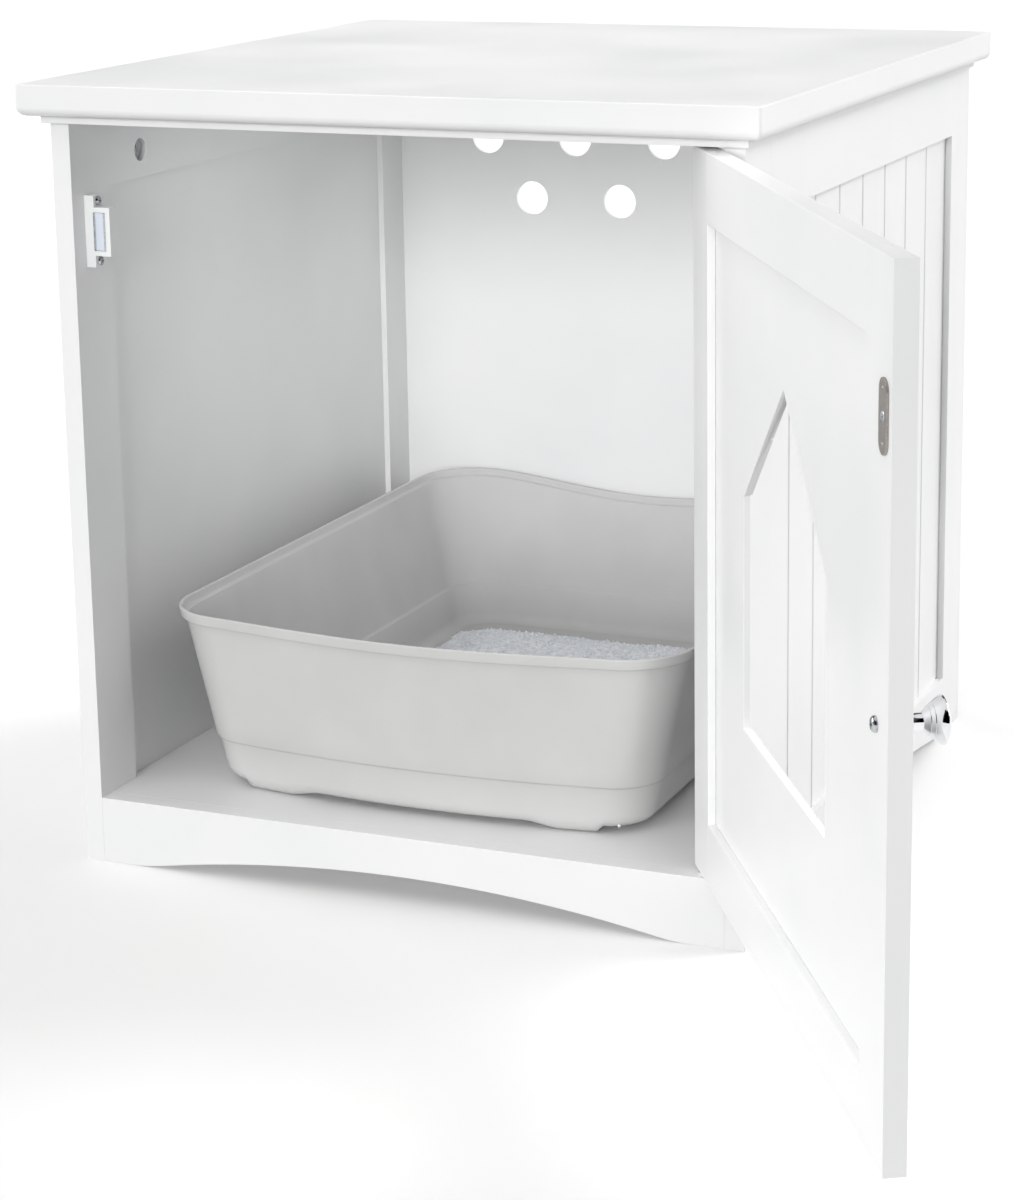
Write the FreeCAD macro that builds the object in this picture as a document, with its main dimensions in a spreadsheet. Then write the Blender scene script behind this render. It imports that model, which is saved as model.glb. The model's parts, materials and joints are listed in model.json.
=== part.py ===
import FreeCAD
import Part
import Sketcher
import math
import os
import re

# Cat litter box cabinet: a white frame-and-panel cabinet with an inset pivot-hung door that has a
# house-shaped cat entry, a vented back, and a litter tray standing on the floor board.
# Millimetres. +X right, +Y to the back, +Z up. The origin is on the ground at the centre of the
# four feet. The door stands open, as far as it goes, against the front edge of the right post.

document = FreeCAD.newDocument("LitterCabinet")

sizes = {
    # carcass
    "carcass_width": 460.0,
    "carcass_depth": 494.0,
    "carcass_height": 489.0,
    "side_thickness": 13.0,
    "stile_width": 45.0,
    "top_rail_width": 45.0,
    "floor_level": 44.0,
    "floor_thickness": 12.0,
    "apron_thickness": 13.0,
    "foot_width": 45.5,
    "front_arch_rise": 17.5,
    "side_arch_rise": 18.0,
    "arch_end_round": 120.0,
    # top
    "top_thickness": 20.0,
    "top_side_overhang": 15.0,
    "top_front_overhang": 17.0,
    "top_edge_round": 5.99,
    "top_arris": 0.8,
    "top_corner_round": 2.0,
    "sub_top_thickness": 5.0,
    "sub_top_side_overhang": 3.5,
    "sub_top_front_overhang": 5.5,
    # panels in their grooves
    "side_panel_thickness": 4.0,
    "groove_depth": 8.0,
    "panel_play": 1.0,
    "groove_end_level": 10.0,
    "bead_pitch": 50.5,
    "bead_count": 7.0,
    "bead_width": 2.6,
    "bead_depth": 1.3,
    "back_panel_thickness": 3.5,
    "back_panel_inset": 6.5,
    "back_groove_depth": 6.0,
    "vent_diameter": 25.7,
    "vent_pitch": 71.8,
    "vent_low_drop": 107.4,
    "vent_row_pitch": 45.9,
    "low_vent_count": 4.0,
    "high_vent_count": 5.0,
    # floor cleats
    "cleat_height": 12.0,
    "cleat_width": 18.0,
    # door
    "door_side_gap": 2.0,
    "door_bottom_gap": 2.0,
    "door_top_gap": 2.0,
    "door_thickness": 12.0,
    "hinge_stile_width": 38.0,
    "latch_stile_width": 44.0,
    "door_bottom_rail": 38.7,
    "door_top_rail": 41.2,
    "door_inner_recess": 5.0,
    "door_panel_thickness": 5.0,
    "door_groove_depth": 7.0,
    "door_edge_round": 2.0,
    "entry_center": 203.5,
    "entry_width": 185.0,
    "entry_sill": 167.8,
    "entry_shoulder": 303.6,
    "entry_apex": 382.4,
    # pivot hinge
    "door_open_angle": 121.75,
    "pivot_from_post": 14.7,
    "pivot_from_front": 7.9,
    "pin_radius": 2.0,
    "pin_clearance": 0.05,
    "bush_radius": 3.0,
    "bush_length": 14.0,
    "pin_reach": 12.0,
    "pin_seat": 16.0,
    "washer_radius": 4.5,
    "washer_thickness": 1.5,
    # magnetic catch and its strike plate
    "catch_depth": 18.0,
    "catch_width": 10.5,
    "catch_drop": 70.5,
    "catch_height": 31.0,
    "catch_ear_height": 46.0,
    "catch_ear_thickness": 6.8,
    "catch_gap": 0.4,
    "catch_back": 2.5,
    "catch_head_radius": 3.0,
    "catch_head_height": 1.8,
    "magnet_inset": 0.3,
    "blade_thickness": 1.2,
    "blade_spacing": 7.2,
    "blade_height": 24.6,
    "blade_from_post": 10.4,
    "blade_proud": 0.5,
    "strike_width": 13.4,
    "strike_height": 36.0,
    "strike_thickness": 1.2,
    "strike_from_edge": 12.0,
    "strike_drop": 75.5,
    # knob
    "knob_from_edge": 21.0,
    "knob_level": 265.5,
    "knob_head_radius": 11.9,
    "knob_head_level": 19.2,
    "knob_neck_radius": 4.1,
    "knob_neck_length": 10.2,
    "knob_collar_radius": 8.3,
    "knob_collar_level": 14.2,
    "knob_base_radius": 6.0,
    "knob_base_thickness": 1.4,
    "knob_rim": 1.0,
    "knob_crown": 3.0,
    "knob_screw_radius": 2.0,
    "knob_screw_bite": 9.0,
    "pan_head_radius": 4.2,
    "pan_head_height": 2.4,
    # fittings that hold the boards together
    "cam_radius": 7.5,
    "cam_depth": 10.0,
    "cam_recess": 3.5,
    "cam_drop": 27.0,
    "cam_from_middle": 160.0,
    "cam_bolt_radius": 3.0,
    "cam_bolt_play": 0.4,
    "cam_bolt_neck": 1.8,
    "cam_bolt_head_rise": 1.0,
    "cam_throat_clearance": 1.0,
    "cam_bolt_thread": 14.0,
    "dowel_radius": 3.0,
    "dowel_half_length": 14.0,
    "dowel_side_depth": 9.0,
    "low_dowel_level": 9.0,
    "high_dowel_level": 20.0,
    "top_dowel_from_middle": 110.0,
    "screw_radius": 1.5,
    "screw_head_radius": 3.4,
    "screw_head_height": 2.0,
    "cleat_screw_bite": 9.0,
    "cleat_screw_from_middle": 130.0,
    "floor_screw_bite": 8.0,
    "floor_screw_from_middle": 65.0,
    "top_screw_bite": 11.0,
    "top_screw_inset": 60.0,
    "small_screw_radius": 1.2,
    "small_head_radius": 2.5,
    "small_screw_bite": 8.0,
    # litter tray, measured from the floor board up
    "tray_width": 360.0,
    "tray_offset": -6.7,
    "tray_front_gap": 5.5,
    "tray_back_gap": 3.0,
    "tray_height": 123.5,
    "tray_corner": 44.3,
    "tray_corner_shrink": 0.53,
    "tray_bow": 15.0,
    "tray_side_taper": 0.215,
    "tray_end_taper": 0.128,
    "tray_wall": 2.0,
    "tray_rim_step": 2.5,
    "tray_rim_height": 7.5,
    "tray_low_step": 1.5,
    "tray_low_height": 33.5,
    "tray_step_slope": 1.0,
    "tray_base_round": 9.0,
    "tray_foot_height": 4.0,
    "tray_foot_radius": 13.0,
    "tray_foot_inset": 14.0,
    "litter_depth": 14.0,
    "litter_play": 0.3,
}

sheet = document.addObject("Spreadsheet::Sheet", "Sizes")
for row, (alias, number) in enumerate(sizes.items(), start=1):
    sheet.set(f"A{row}", alias)
    sheet.set(f"B{row}", str(number))
    sheet.setAlias(f"B{row}", alias)
document.recompute()

pieces = []


def bind(item, prop, text):
    """Tie a property to a formula in the sheet's own names."""
    item.setExpression(prop, re.sub(r"[a-z]+_[a-z_]+", lambda word: "Sizes." + word.group(), text))


def size(alias):
    return float(sheet.get(alias))


def minus(text):
    return f"-({text})"


def span(side, near, far):
    """A stretch of the X axis that lies on the right (1) or is mirrored to the left (-1)."""
    return (near, far) if side > 0 else (minus(far), minus(near))


def about(middle, half):
    return (f"({middle}) - ({half})", f"({middle}) + ({half})")


# ---------------------------------------------------------------- solids and booleans


def box(name, x, y, z):
    item = document.addObject("Part::Box", name)
    for prop, axis, (low, high) in (("Length", "x", x), ("Width", "y", y), ("Height", "z", z)):
        bind(item, prop, f"({high}) - ({low})")
        bind(item, "Placement.Base." + axis, low)
    return item


TURNS = {
    "x": FreeCAD.Rotation(FreeCAD.Vector(0, 1, 0), 90),
    "y": FreeCAD.Rotation(FreeCAD.Vector(1, 0, 0), -90),
    "z": FreeCAD.Rotation(),
}


def set_along(item, axis, low, middle):
    """Stand a round solid on its low end, along one axis, centred on the two others."""
    item.Placement = FreeCAD.Placement(FreeCAD.Vector(), TURNS[axis])
    others = [name for name in "xyz" if name != axis]
    bind(item, "Placement.Base." + axis, low)
    for name, text in zip(others, middle):
        bind(item, "Placement.Base." + name, text)
    return item


def rod(name, axis, radius, ends, middle):
    item = document.addObject("Part::Cylinder", name)
    bind(item, "Radius", radius)
    bind(item, "Height", f"({ends[1]}) - ({ends[0]})")
    return set_along(item, axis, ends[0], middle)


def cone(name, axis, radii, ends, middle):
    item = document.addObject("Part::Cone", name)
    bind(item, "Radius1", radii[0])
    bind(item, "Radius2", radii[1])
    bind(item, "Height", f"({ends[1]}) - ({ends[0]})")
    return set_along(item, axis, ends[0], middle)


def joined(name, solids):
    item = document.addObject("Part::MultiFuse", name)
    item.Shapes = solids
    item.Refine = True
    return item


def group(name, solids):
    item = document.addObject("Part::Compound", name)
    item.Links = solids
    return item


def cut(name, solid, tools):
    item = document.addObject("Part::Cut", name)
    item.Base = solid
    item.Tool = tools[0] if len(tools) == 1 else group(name + "_tools", tools)
    return item


def finish(item, label):
    item.Label = label
    pieces.append(item)
    return item


# ---------------------------------------------------------------- sketched bodies


def new_sketch(body, name, role):
    sketch = body.newObject("Sketcher::SketchObject", name)
    plane = [item for item in body.Origin.OriginFeatures if item.Role == role][0]
    sketch.AttachmentSupport = [(plane, "")]
    sketch.MapMode = "FlatFace"
    return sketch


def fix_point(sketch, index, end, where):
    for kind, text in zip(("DistanceX", "DistanceY"), where):
        row = sketch.addConstraint(Sketcher.Constraint(kind, -1, 1, index, end, 1.0))
        bind(sketch, f"Constraints[{row}]", text)


def outline(sketch, corners):
    """A closed outline of straight lines, each corner tied to the sheet."""
    count = len(corners)
    for index in range(count):
        ends = []
        for step in (index, index + 1):
            turn = 2 * math.pi * step / count
            ends.append(FreeCAD.Vector(math.cos(turn), math.sin(turn), 0))
        sketch.addGeometry(Part.LineSegment(*ends))
    for index in range(count):
        sketch.addConstraint(Sketcher.Constraint("Coincident", index, 2, (index + 1) % count, 1))
        fix_point(sketch, index, 1, corners[index])


def rectangle(sketch, x, y):
    outline(sketch, [(x[0], y[0]), (x[1], y[0]), (x[1], y[1]), (x[0], y[1])])


def circle(sketch, middle, radius):
    sketch.addGeometry(Part.Circle(FreeCAD.Vector(), FreeCAD.Vector(0, 0, 1), 1))
    fix_point(sketch, 0, 3, middle)
    row = sketch.addConstraint(Sketcher.Constraint("Radius", 0, 1.0))
    bind(sketch, f"Constraints[{row}]", radius)


def pad(body, sketch, length):
    item = body.newObject("PartDesign::Pad", sketch.Name + "_pad")
    item.Profile = sketch
    item.Length = 1
    bind(item, "Length", length)
    return item


def pocket(body, sketch):
    """Cut right through the solid that stands on the sketch's plane."""
    document.recompute()
    before = body.Tip.Shape.Volume
    item = body.newObject("PartDesign::Pocket", sketch.Name + "_pocket")
    item.Profile = sketch
    item.Type = "ThroughAll"
    item.Reversed = True
    document.recompute()
    if not item.Shape.Volume < before - 1e-6:
        raise RuntimeError(sketch.Name + " cuts nothing")
    return item


def row_of(body, feature, sketch, count, length):
    item = body.newObject("PartDesign::LinearPattern", feature.Name + "_row")
    item.Originals = [feature]
    item.Direction = (sketch, ["H_Axis"])
    bind(item, "Length", length)
    bind(item, "Occurrences", count)
    body.Tip = item
    return item


def edge_names(shape, wanted):
    return [f"Edge{index}" for index, edge in enumerate(shape.Edges, start=1) if wanted(edge)]


def round_edges(body, name, radius, wanted):
    document.recompute()
    last = body.Tip
    item = body.newObject("PartDesign::Fillet", name)
    item.Base = (last, edge_names(last.Shape, wanted))
    bind(item, "Radius", radius)
    body.Tip = item
    return item


def place_body(body, where, turn):
    body.Placement = FreeCAD.Placement(FreeCAD.Vector(), FreeCAD.Rotation(FreeCAD.Vector(0, 0, 1), turn))
    for axis, text in zip("xyz", where):
        bind(body, "Placement.Base." + axis, text)


# ---------------------------------------------------------------- shared places

POST_X = "carcass_width / 2 - side_thickness"
SIDE_MIDDLE = "carcass_width / 2 - side_thickness / 2"
BACK_Y = "carcass_depth / 2"
RAIL_Y = "carcass_depth / 2 - stile_width"
BACK_PANEL_REAR = "carcass_depth / 2 - back_panel_inset"
BACK_PANEL_FRONT = BACK_PANEL_REAR + " - back_panel_thickness"
TOP_UNDERSIDE = "carcass_height + sub_top_thickness"
FLOOR_UNDERSIDE = "floor_level - floor_thickness"
REAR_APRON_FRONT = "carcass_depth / 2 - apron_thickness"
RAIL_UNDERSIDE = "carcass_height - top_rail_width"
VENT_LEVEL = "carcass_height - vent_low_drop"
CATCH_LEVEL = "carcass_height - catch_drop"
STRIKE_LEVEL = "carcass_height - strike_drop"


# ---------------------------------------------------------------- arched boards


def arched_board(name, half_length, thickness, half_arch, rise, tongue):
    """A board on the ground with an arch under it: X along it, Y through it, Z up. A rail has a
    tongue at both ends for the posts' grooves; an apron's arch runs out softly into its feet."""
    body = document.addObject("PartDesign::Body", name + "_board")
    face = new_sketch(body, name + "_face", "XZ_Plane")
    rectangle(face, (minus(half_length), half_length), ("0", "floor_level"))
    pad(body, face, thickness)
    arch = new_sketch(body, name + "_arch", "XZ_Plane")
    radius = f"(({half_arch}) ^ 2 + {rise} ^ 2) / (2 * {rise})"
    circle(arch, ("0", f"{rise} - {radius}"), radius)
    pocket(body, arch)

    if not tongue:
        document.recompute()
        board = body.Shape.BoundBox

        def arch_end(edge):
            line = edge.BoundBox
            across = line.ZMax < 1e-6 and line.XLength < 1e-6
            return across and board.XMin + 1 < line.XMin < board.XMax - 1

        round_edges(body, name + "_arch_ends", "arch_end_round", arch_end)
    else:
        for side in (1, -1):
            ends = span(side, half_length, f"{half_length} + groove_depth")
            low = "groove_end_level"
            tongue_face = new_sketch(body, f"{name}_tongue_{'right' if side > 0 else 'left'}", "XZ_Plane")
            rectangle(tongue_face, ends, (low, "floor_level"))
            tongue_pad = pad(body, tongue_face, "side_panel_thickness")
            bind(tongue_face, "AttachmentOffset.Base.z", f"({thickness} - side_panel_thickness) / 2")
            body.Tip = tongue_pad
    document.recompute()
    return body


# ---------------------------------------------------------------- sides


def side_frame(side):
    hand = "right" if side > 0 else "left"
    outer = span(side, POST_X, "carcass_width / 2")
    tongue_x = span(side, f"{SIDE_MIDDLE} - side_panel_thickness / 2",
                    f"{SIDE_MIDDLE} + side_panel_thickness / 2")
    for end, name in ((-1, "front_stile"), (1, "rear_stile")):
        edge = f"{end} * ({RAIL_Y})"
        outside = f"{end} * ({BACK_Y})"
        run = (outside, edge) if end < 0 else (edge, outside)
        depth = f"{end} * ({RAIL_Y} + groove_depth)"
        slot = (depth, edge) if end < 0 else (edge, depth)
        stem = f"{hand}_{name}"
        board = box(stem + "_board", outer, run, ("0", "carcass_height"))
        tools = [box(stem + "_groove", tongue_x, slot, ("groove_end_level", "carcass_height"))]
        tools += dowel_holes(stem, side, end)
        if end < 0 and side < 0:
            tools += catch_screw_holes(stem)
        if end > 0:
            slot_x = span(side, POST_X, f"{POST_X} + back_groove_depth")
            slot_y = (BACK_PANEL_FRONT, BACK_PANEL_REAR)
            tools.append(box(stem + "_back_groove", slot_x, slot_y, (FLOOR_UNDERSIDE, "carcass_height")))
        finish(cut(stem, board, tools), stem)

    stem = f"{hand}_top_rail"
    rail_y = (minus(RAIL_Y), RAIL_Y)
    tongue_y = (minus(RAIL_Y + " + groove_depth"), RAIL_Y + " + groove_depth")
    rail_z = (RAIL_UNDERSIDE, "carcass_height")
    board = joined(stem + "_board", [
        box(stem + "_plank", outer, rail_y, rail_z),
        box(stem + "_tongues", tongue_x, tongue_y, rail_z),
    ])
    slot_z = (RAIL_UNDERSIDE, f"{RAIL_UNDERSIDE} + groove_depth")
    tools = [box(stem + "_groove", tongue_x, tongue_y, slot_z)]
    for end in (-1, 1):
        tools += cam_bores(f"{stem}_{'front' if end < 0 else 'rear'}", side, end)
        tools.append(top_dowel(f"{stem}_dowel_hole_{end + 1}", side, end, "carcass_height"))
    finish(cut(stem, board, tools), stem)

    stem = f"{hand}_bottom_rail"
    board = arched_board(stem, RAIL_Y, "side_thickness", "carcass_depth / 2 - foot_width",
                         "side_arch_rise", True)
    # the board's own +Y face is at its plane, so turning it lays that face on the room side
    place_body(board, (span(side, POST_X, POST_X)[0], "0", "0"), 90 * side)
    slot_z = ("floor_level - groove_depth", "floor_level")
    tools = [box(stem + "_groove", tongue_x, tongue_y, slot_z)]
    for index in (-1, 0, 1):
        where = (f"{index} * cleat_screw_from_middle", CLEAT_MIDDLE)
        bite = span(side, POST_X, f"{POST_X} + cleat_screw_bite")
        tools.append(rod(f"{stem}_screw_hole_{index + 1}", "x", "screw_radius", bite, where))
    finish(cut(stem, board, tools), stem)

    stem = f"{hand}_panel"
    panel = beaded_panel(stem, f"{RAIL_Y} + groove_depth - panel_play",
                         ("floor_level - groove_depth", f"{RAIL_UNDERSIDE} + groove_depth - panel_play"),
                         "side_panel_thickness", [])
    inner_face = f"{SIDE_MIDDLE} - side_panel_thickness / 2"
    place_body(panel, (span(side, inner_face, inner_face)[0], "0", "0"), 90 * side)
    finish(panel, stem)


def beaded_panel(name, half_width, z, thickness, openings):
    """A thin panel, its back on the XZ plane and its beaded face towards -Y."""
    body = document.addObject("PartDesign::Body", name)
    face = new_sketch(body, name + "_face", "XZ_Plane")
    rectangle(face, (minus(half_width), half_width), z)
    pad(body, face, thickness)
    for index, corners in enumerate(openings):
        hole = new_sketch(body, f"{name}_opening_{index}", "XZ_Plane")
        outline(hole, corners)
        pocket(body, hole)
    groove = new_sketch(body, name + "_bead", "XY_Plane")
    start = "-(bead_count - 1) / 2 * bead_pitch"
    outline(groove, [
        (f"{start} - bead_width / 2", f"-({thickness})"),
        (f"{start} + bead_width / 2", f"-({thickness})"),
        (start, f"-({thickness}) + bead_depth"),
    ])
    first = pocket(body, groove)
    row_of(body, first, groove, "bead_count", "(bead_count - 1) * bead_pitch")
    document.recompute()
    return body


# ---------------------------------------------------------------- fittings in the boards

CLEAT_MIDDLE = "floor_level - floor_thickness - cleat_height / 2"


def cam_bores(stem, side, end):
    """The cam's blind bore in the top rail's inner face, and the bolt's bore from above."""
    middle_y = f"{end} * cam_from_middle"
    level = "carcass_height - cam_drop"
    return [
        rod(stem + "_cam_bore", "x", "cam_radius", span(side, POST_X, f"{POST_X} + cam_depth"),
            (middle_y, level)),
        rod(stem + "_bolt_bore", "z", "cam_bolt_radius + cam_bolt_play", (level, "carcass_height"),
            (f"{side} * ({SIDE_MIDDLE})", middle_y)),
    ]


def cam_lock(stem, side, end):
    middle_y = f"{end} * cam_from_middle"
    level = "carcass_height - cam_drop"
    face = f"{POST_X} + cam_recess"
    disc = rod(stem + "_disc", "x", "cam_radius", span(side, face, f"{POST_X} + cam_depth"),
               (middle_y, level))
    slot = rod(stem + "_throat", "z", "cam_bolt_radius + cam_bolt_play",
               (f"{level} - cam_bolt_radius - cam_throat_clearance", f"{level} + cam_radius"),
               (f"{side} * ({SIDE_MIDDLE})", middle_y))
    face_x = span(side, face, f"{face} + cam_depth / 6")
    arms = [
        box(stem + "_cross_a", face_x, about(middle_y, "cam_radius / 2"), about(level, "cam_radius / 10")),
        box(stem + "_cross_b", face_x, about(middle_y, "cam_radius / 10"), about(level, "cam_radius / 2")),
    ]
    return cut(stem, disc, [slot] + arms)


def cam_bolt(stem, side, end):
    """A turned bolt: its head in the cam, its thread in the top."""
    where = (f"{side} * ({SIDE_MIDDLE})", f"{end} * cam_from_middle")
    level = "carcass_height - cam_drop"
    neck_low = f"{level} + cam_bolt_head_rise"
    neck_high = f"{neck_low} + cam_bolt_radius"
    return joined(stem, [
        rod(stem + "_head", "z", "cam_bolt_radius", (f"{level} - cam_bolt_radius", neck_low), where),
        rod(stem + "_neck", "z", "cam_bolt_neck", (neck_low, neck_high), where),
        rod(stem + "_shank", "z", "cam_bolt_radius",
            (neck_high, "carcass_height + cam_bolt_thread"), where),
    ])


def top_dowel(name, side, end, top):
    where = (f"{side} * ({SIDE_MIDDLE})", f"{end} * top_dowel_from_middle")
    low = "carcass_height - dowel_half_length"
    return rod(name, "z", "dowel_radius", (low, top), where)


def apron_dowel(name, side, end, level):
    """A dowel that pins an apron's end to a post: end -1 is the front apron, 1 the rear one."""
    middle_y = f"{end} * (carcass_depth / 2 - apron_thickness / 2)"
    low = f"{POST_X} - dowel_half_length"
    return rod(name, "x", "dowel_radius", span(side, low, f"{POST_X} + dowel_side_depth"),
               (middle_y, level))


def dowel_holes(stem, side, end):
    return [apron_dowel(f"{stem}_dowel_hole_{level}", side, end, level)
            for level in ("low_dowel_level", "high_dowel_level")]


def flat_screw(stem, axis, start, tip, where, way=1):
    """A countersunk screw from its head's face to its tip; way -1 points down the axis."""
    neck = f"{start} + {way} * screw_head_height"
    radii = ("screw_head_radius", "screw_radius")
    head_ends = (start, neck)
    shank_ends = (neck, tip)
    if way < 0:
        radii = ("screw_radius", "screw_head_radius")
        head_ends = (neck, start)
        shank_ends = (tip, neck)
    return joined(stem, [
        cone(stem + "_head", axis, radii, head_ends, where),
        rod(stem + "_shank", axis, "screw_radius", shank_ends, where),
    ])


def cleat_screw(stem, side, index):
    """From the cleat's inner face through it into the side's bottom rail."""
    where = (f"{index} * cleat_screw_from_middle", CLEAT_MIDDLE)
    start = f"{side} * ({POST_X} - cleat_width)"
    tip = f"{side} * ({POST_X} + cleat_screw_bite)"
    return flat_screw(stem, "x", start, tip, where, side)


def floor_screw(stem, side, index):
    """From under the cleat up into the floor board."""
    where = (f"{side} * ({POST_X} - cleat_width / 2)", f"{index} * floor_screw_from_middle")
    start = f"{FLOOR_UNDERSIDE} - cleat_height"
    return flat_screw(stem, "z", start, f"{FLOOR_UNDERSIDE} + floor_screw_bite", where)


def top_screw(stem, x, y):
    """From under the sub-top up into the top board."""
    return flat_screw(stem, "z", "carcass_height", f"{TOP_UNDERSIDE} + top_screw_bite", (x, y))


TOP_SCREW_PLACES = [
    (f"{across} * ({POST_X} - top_screw_inset)", f"{along} * ({BACK_Y} - top_screw_inset)")
    for across in (-1, 1) for along in (-1, 0, 1)
]


# ---------------------------------------------------------------- top

ENDS = ((1, -1), (1, 1), (-1, -1), (-1, 1))


def make_top():
    half_width = "carcass_width / 2 + top_side_overhang"
    front = "-carcass_depth / 2 - top_front_overhang"
    body = document.addObject("PartDesign::Body", "top_board_slab")
    plan = new_sketch(body, "top_board_plan", "XY_Plane")
    rectangle(plan, (minus(half_width), half_width), (front, BACK_Y))
    pad(body, plan, "top_thickness")
    document.recompute()
    slab = body.Shape.BoundBox

    def upright_front(edge):
        return edge.BoundBox.ZLength > 1 and edge.BoundBox.YMax < slab.Center.y

    def lower_show_edge(edge):
        at_back = edge.BoundBox.YMin > slab.YMax - 1e-6
        return edge.BoundBox.ZMax < 1e-6 and not at_back

    def upper_edge(edge):
        return edge.BoundBox.ZMin > slab.ZMax - 1e-6

    round_edges(body, "top_corner_rounds", "top_corner_round", upright_front)
    round_edges(body, "top_lower_round", "top_edge_round", lower_show_edge)
    round_edges(body, "top_upper_arris", "top_arris", upper_edge)
    place_body(body, ("0", "0", TOP_UNDERSIDE), 0)
    tools = []
    for side, end in ENDS:
        stem = f"top_board_{side + 1}_{end + 1}"
        tools.append(rod(stem + "_bolt", "z", "cam_bolt_radius",
                         ("carcass_height", "carcass_height + cam_bolt_thread"),
                         (f"{side} * ({SIDE_MIDDLE})", f"{end} * cam_from_middle")))
        tools.append(top_dowel(stem + "_dowel", side, end, "carcass_height + dowel_half_length"))
    for index, where in enumerate(TOP_SCREW_PLACES):
        tools.append(rod(f"top_board_screw_hole_{index}", "z", "screw_radius",
                         (TOP_UNDERSIDE, f"{TOP_UNDERSIDE} + top_screw_bite"), where))
    tools.append(pivot_rod("top_board_pin_hole", "pin_radius", (TOP_UNDERSIDE, TOP_PIN_TOP)))
    finish(cut("top_board", body, tools), "top_board")

    half_width = "carcass_width / 2 + sub_top_side_overhang"
    front = "-carcass_depth / 2 - sub_top_front_overhang"
    board = box("sub_top_board", (minus(half_width), half_width), (front, BACK_Y),
                ("carcass_height", TOP_UNDERSIDE))
    tools = []
    for side, end in ENDS:
        stem = f"sub_top_{side + 1}_{end + 1}"
        tools.append(rod(stem + "_bolt", "z", "cam_bolt_radius", ("carcass_height", TOP_UNDERSIDE),
                         (f"{side} * ({SIDE_MIDDLE})", f"{end} * cam_from_middle")))
        tools.append(top_dowel(stem + "_dowel", side, end, TOP_UNDERSIDE))
    for index, where in enumerate(TOP_SCREW_PLACES):
        tools.append(top_screw(f"sub_top_screw_hole_{index}", *where))
    tools.append(pivot_rod("sub_top_pin_hole", "pin_radius", ("carcass_height", TOP_UNDERSIDE)))
    finish(cut("sub_top", board, tools), "sub_top")


# ---------------------------------------------------------------- aprons, floor, cleats, back


def make_base():
    half_arch = "carcass_width / 2 - foot_width"
    front = arched_board("front_apron", POST_X, "apron_thickness", half_arch, "front_arch_rise", False)
    place_body(front, ("0", "-carcass_depth / 2 + apron_thickness", "0"), 0)
    tools = [apron_dowel(f"front_apron_dowel_{side + 1}_{level}", side, -1, level)
             for side in (1, -1) for level in ("low_dowel_level", "high_dowel_level")]
    tools.append(pivot_rod("front_apron_pin_hole", "pin_radius", ("floor_level - pin_seat", "floor_level")))
    finish(cut("front_apron", front, tools), "front_apron")

    rear = arched_board("rear_apron", POST_X, "apron_thickness", half_arch, "front_arch_rise", False)
    place_body(rear, ("0", BACK_Y, "0"), 0)
    tools = [apron_dowel(f"rear_apron_dowel_{side + 1}_{level}", side, 1, level)
             for side in (1, -1) for level in ("low_dowel_level", "high_dowel_level")]
    tools.append(box("rear_apron_groove", (minus(POST_X), POST_X), (BACK_PANEL_FRONT, BACK_PANEL_REAR),
                     (FLOOR_UNDERSIDE, "floor_level")))
    finish(cut("rear_apron", rear, tools), "rear_apron")

    board = box("floor_board_slab", (minus(POST_X), POST_X),
                ("-carcass_depth / 2 + apron_thickness", REAR_APRON_FRONT),
                (FLOOR_UNDERSIDE, "floor_level"))
    holes = [rod(f"floor_board_hole_{side + 1}_{index + 1}", "z", "screw_radius",
                 (FLOOR_UNDERSIDE, f"{FLOOR_UNDERSIDE} + floor_screw_bite"),
                 (f"{side} * ({POST_X} - cleat_width / 2)", f"{index} * floor_screw_from_middle"))
             for side in (1, -1) for index in (-1, 1)]
    finish(cut("floor_board", board, holes), "floor_board")

    for side, hand in ((1, "right"), (-1, "left")):
        stem = f"{hand}_floor_cleat"
        strip = box(stem + "_strip", span(side, f"{POST_X} - cleat_width", POST_X),
                    (minus(RAIL_Y), RAIL_Y), (f"{FLOOR_UNDERSIDE} - cleat_height", FLOOR_UNDERSIDE))
        tools = [cleat_screw(f"{stem}_hole_{index + 1}", side, index) for index in (-1, 0, 1)]
        tools += [floor_screw(f"{stem}_up_hole_{index + 1}", side, index) for index in (-1, 1)]
        finish(cut(stem, strip, tools), stem)

    body = document.addObject("PartDesign::Body", "back_panel")
    face = new_sketch(body, "back_panel_face", "XZ_Plane")
    half_width = f"{POST_X} + back_groove_depth - panel_play"
    rectangle(face, (minus(half_width), half_width), (FLOOR_UNDERSIDE, "carcass_height"))
    pad(body, face, "back_panel_thickness")
    for name, count, level in (
        ("low_vents", "low_vent_count", VENT_LEVEL),
        ("high_vents", "high_vent_count", f"{VENT_LEVEL} + vent_row_pitch"),
    ):
        vent = new_sketch(body, name, "XZ_Plane")
        circle(vent, (f"-({count} - 1) / 2 * vent_pitch", level), "vent_diameter / 2")
        first = pocket(body, vent)
        row_of(body, first, vent, count, f"({count} - 1) * vent_pitch")
    place_body(body, ("0", BACK_PANEL_REAR, "0"), 0)
    finish(body, "back_panel")


# ---------------------------------------------------------------- fasteners


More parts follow.
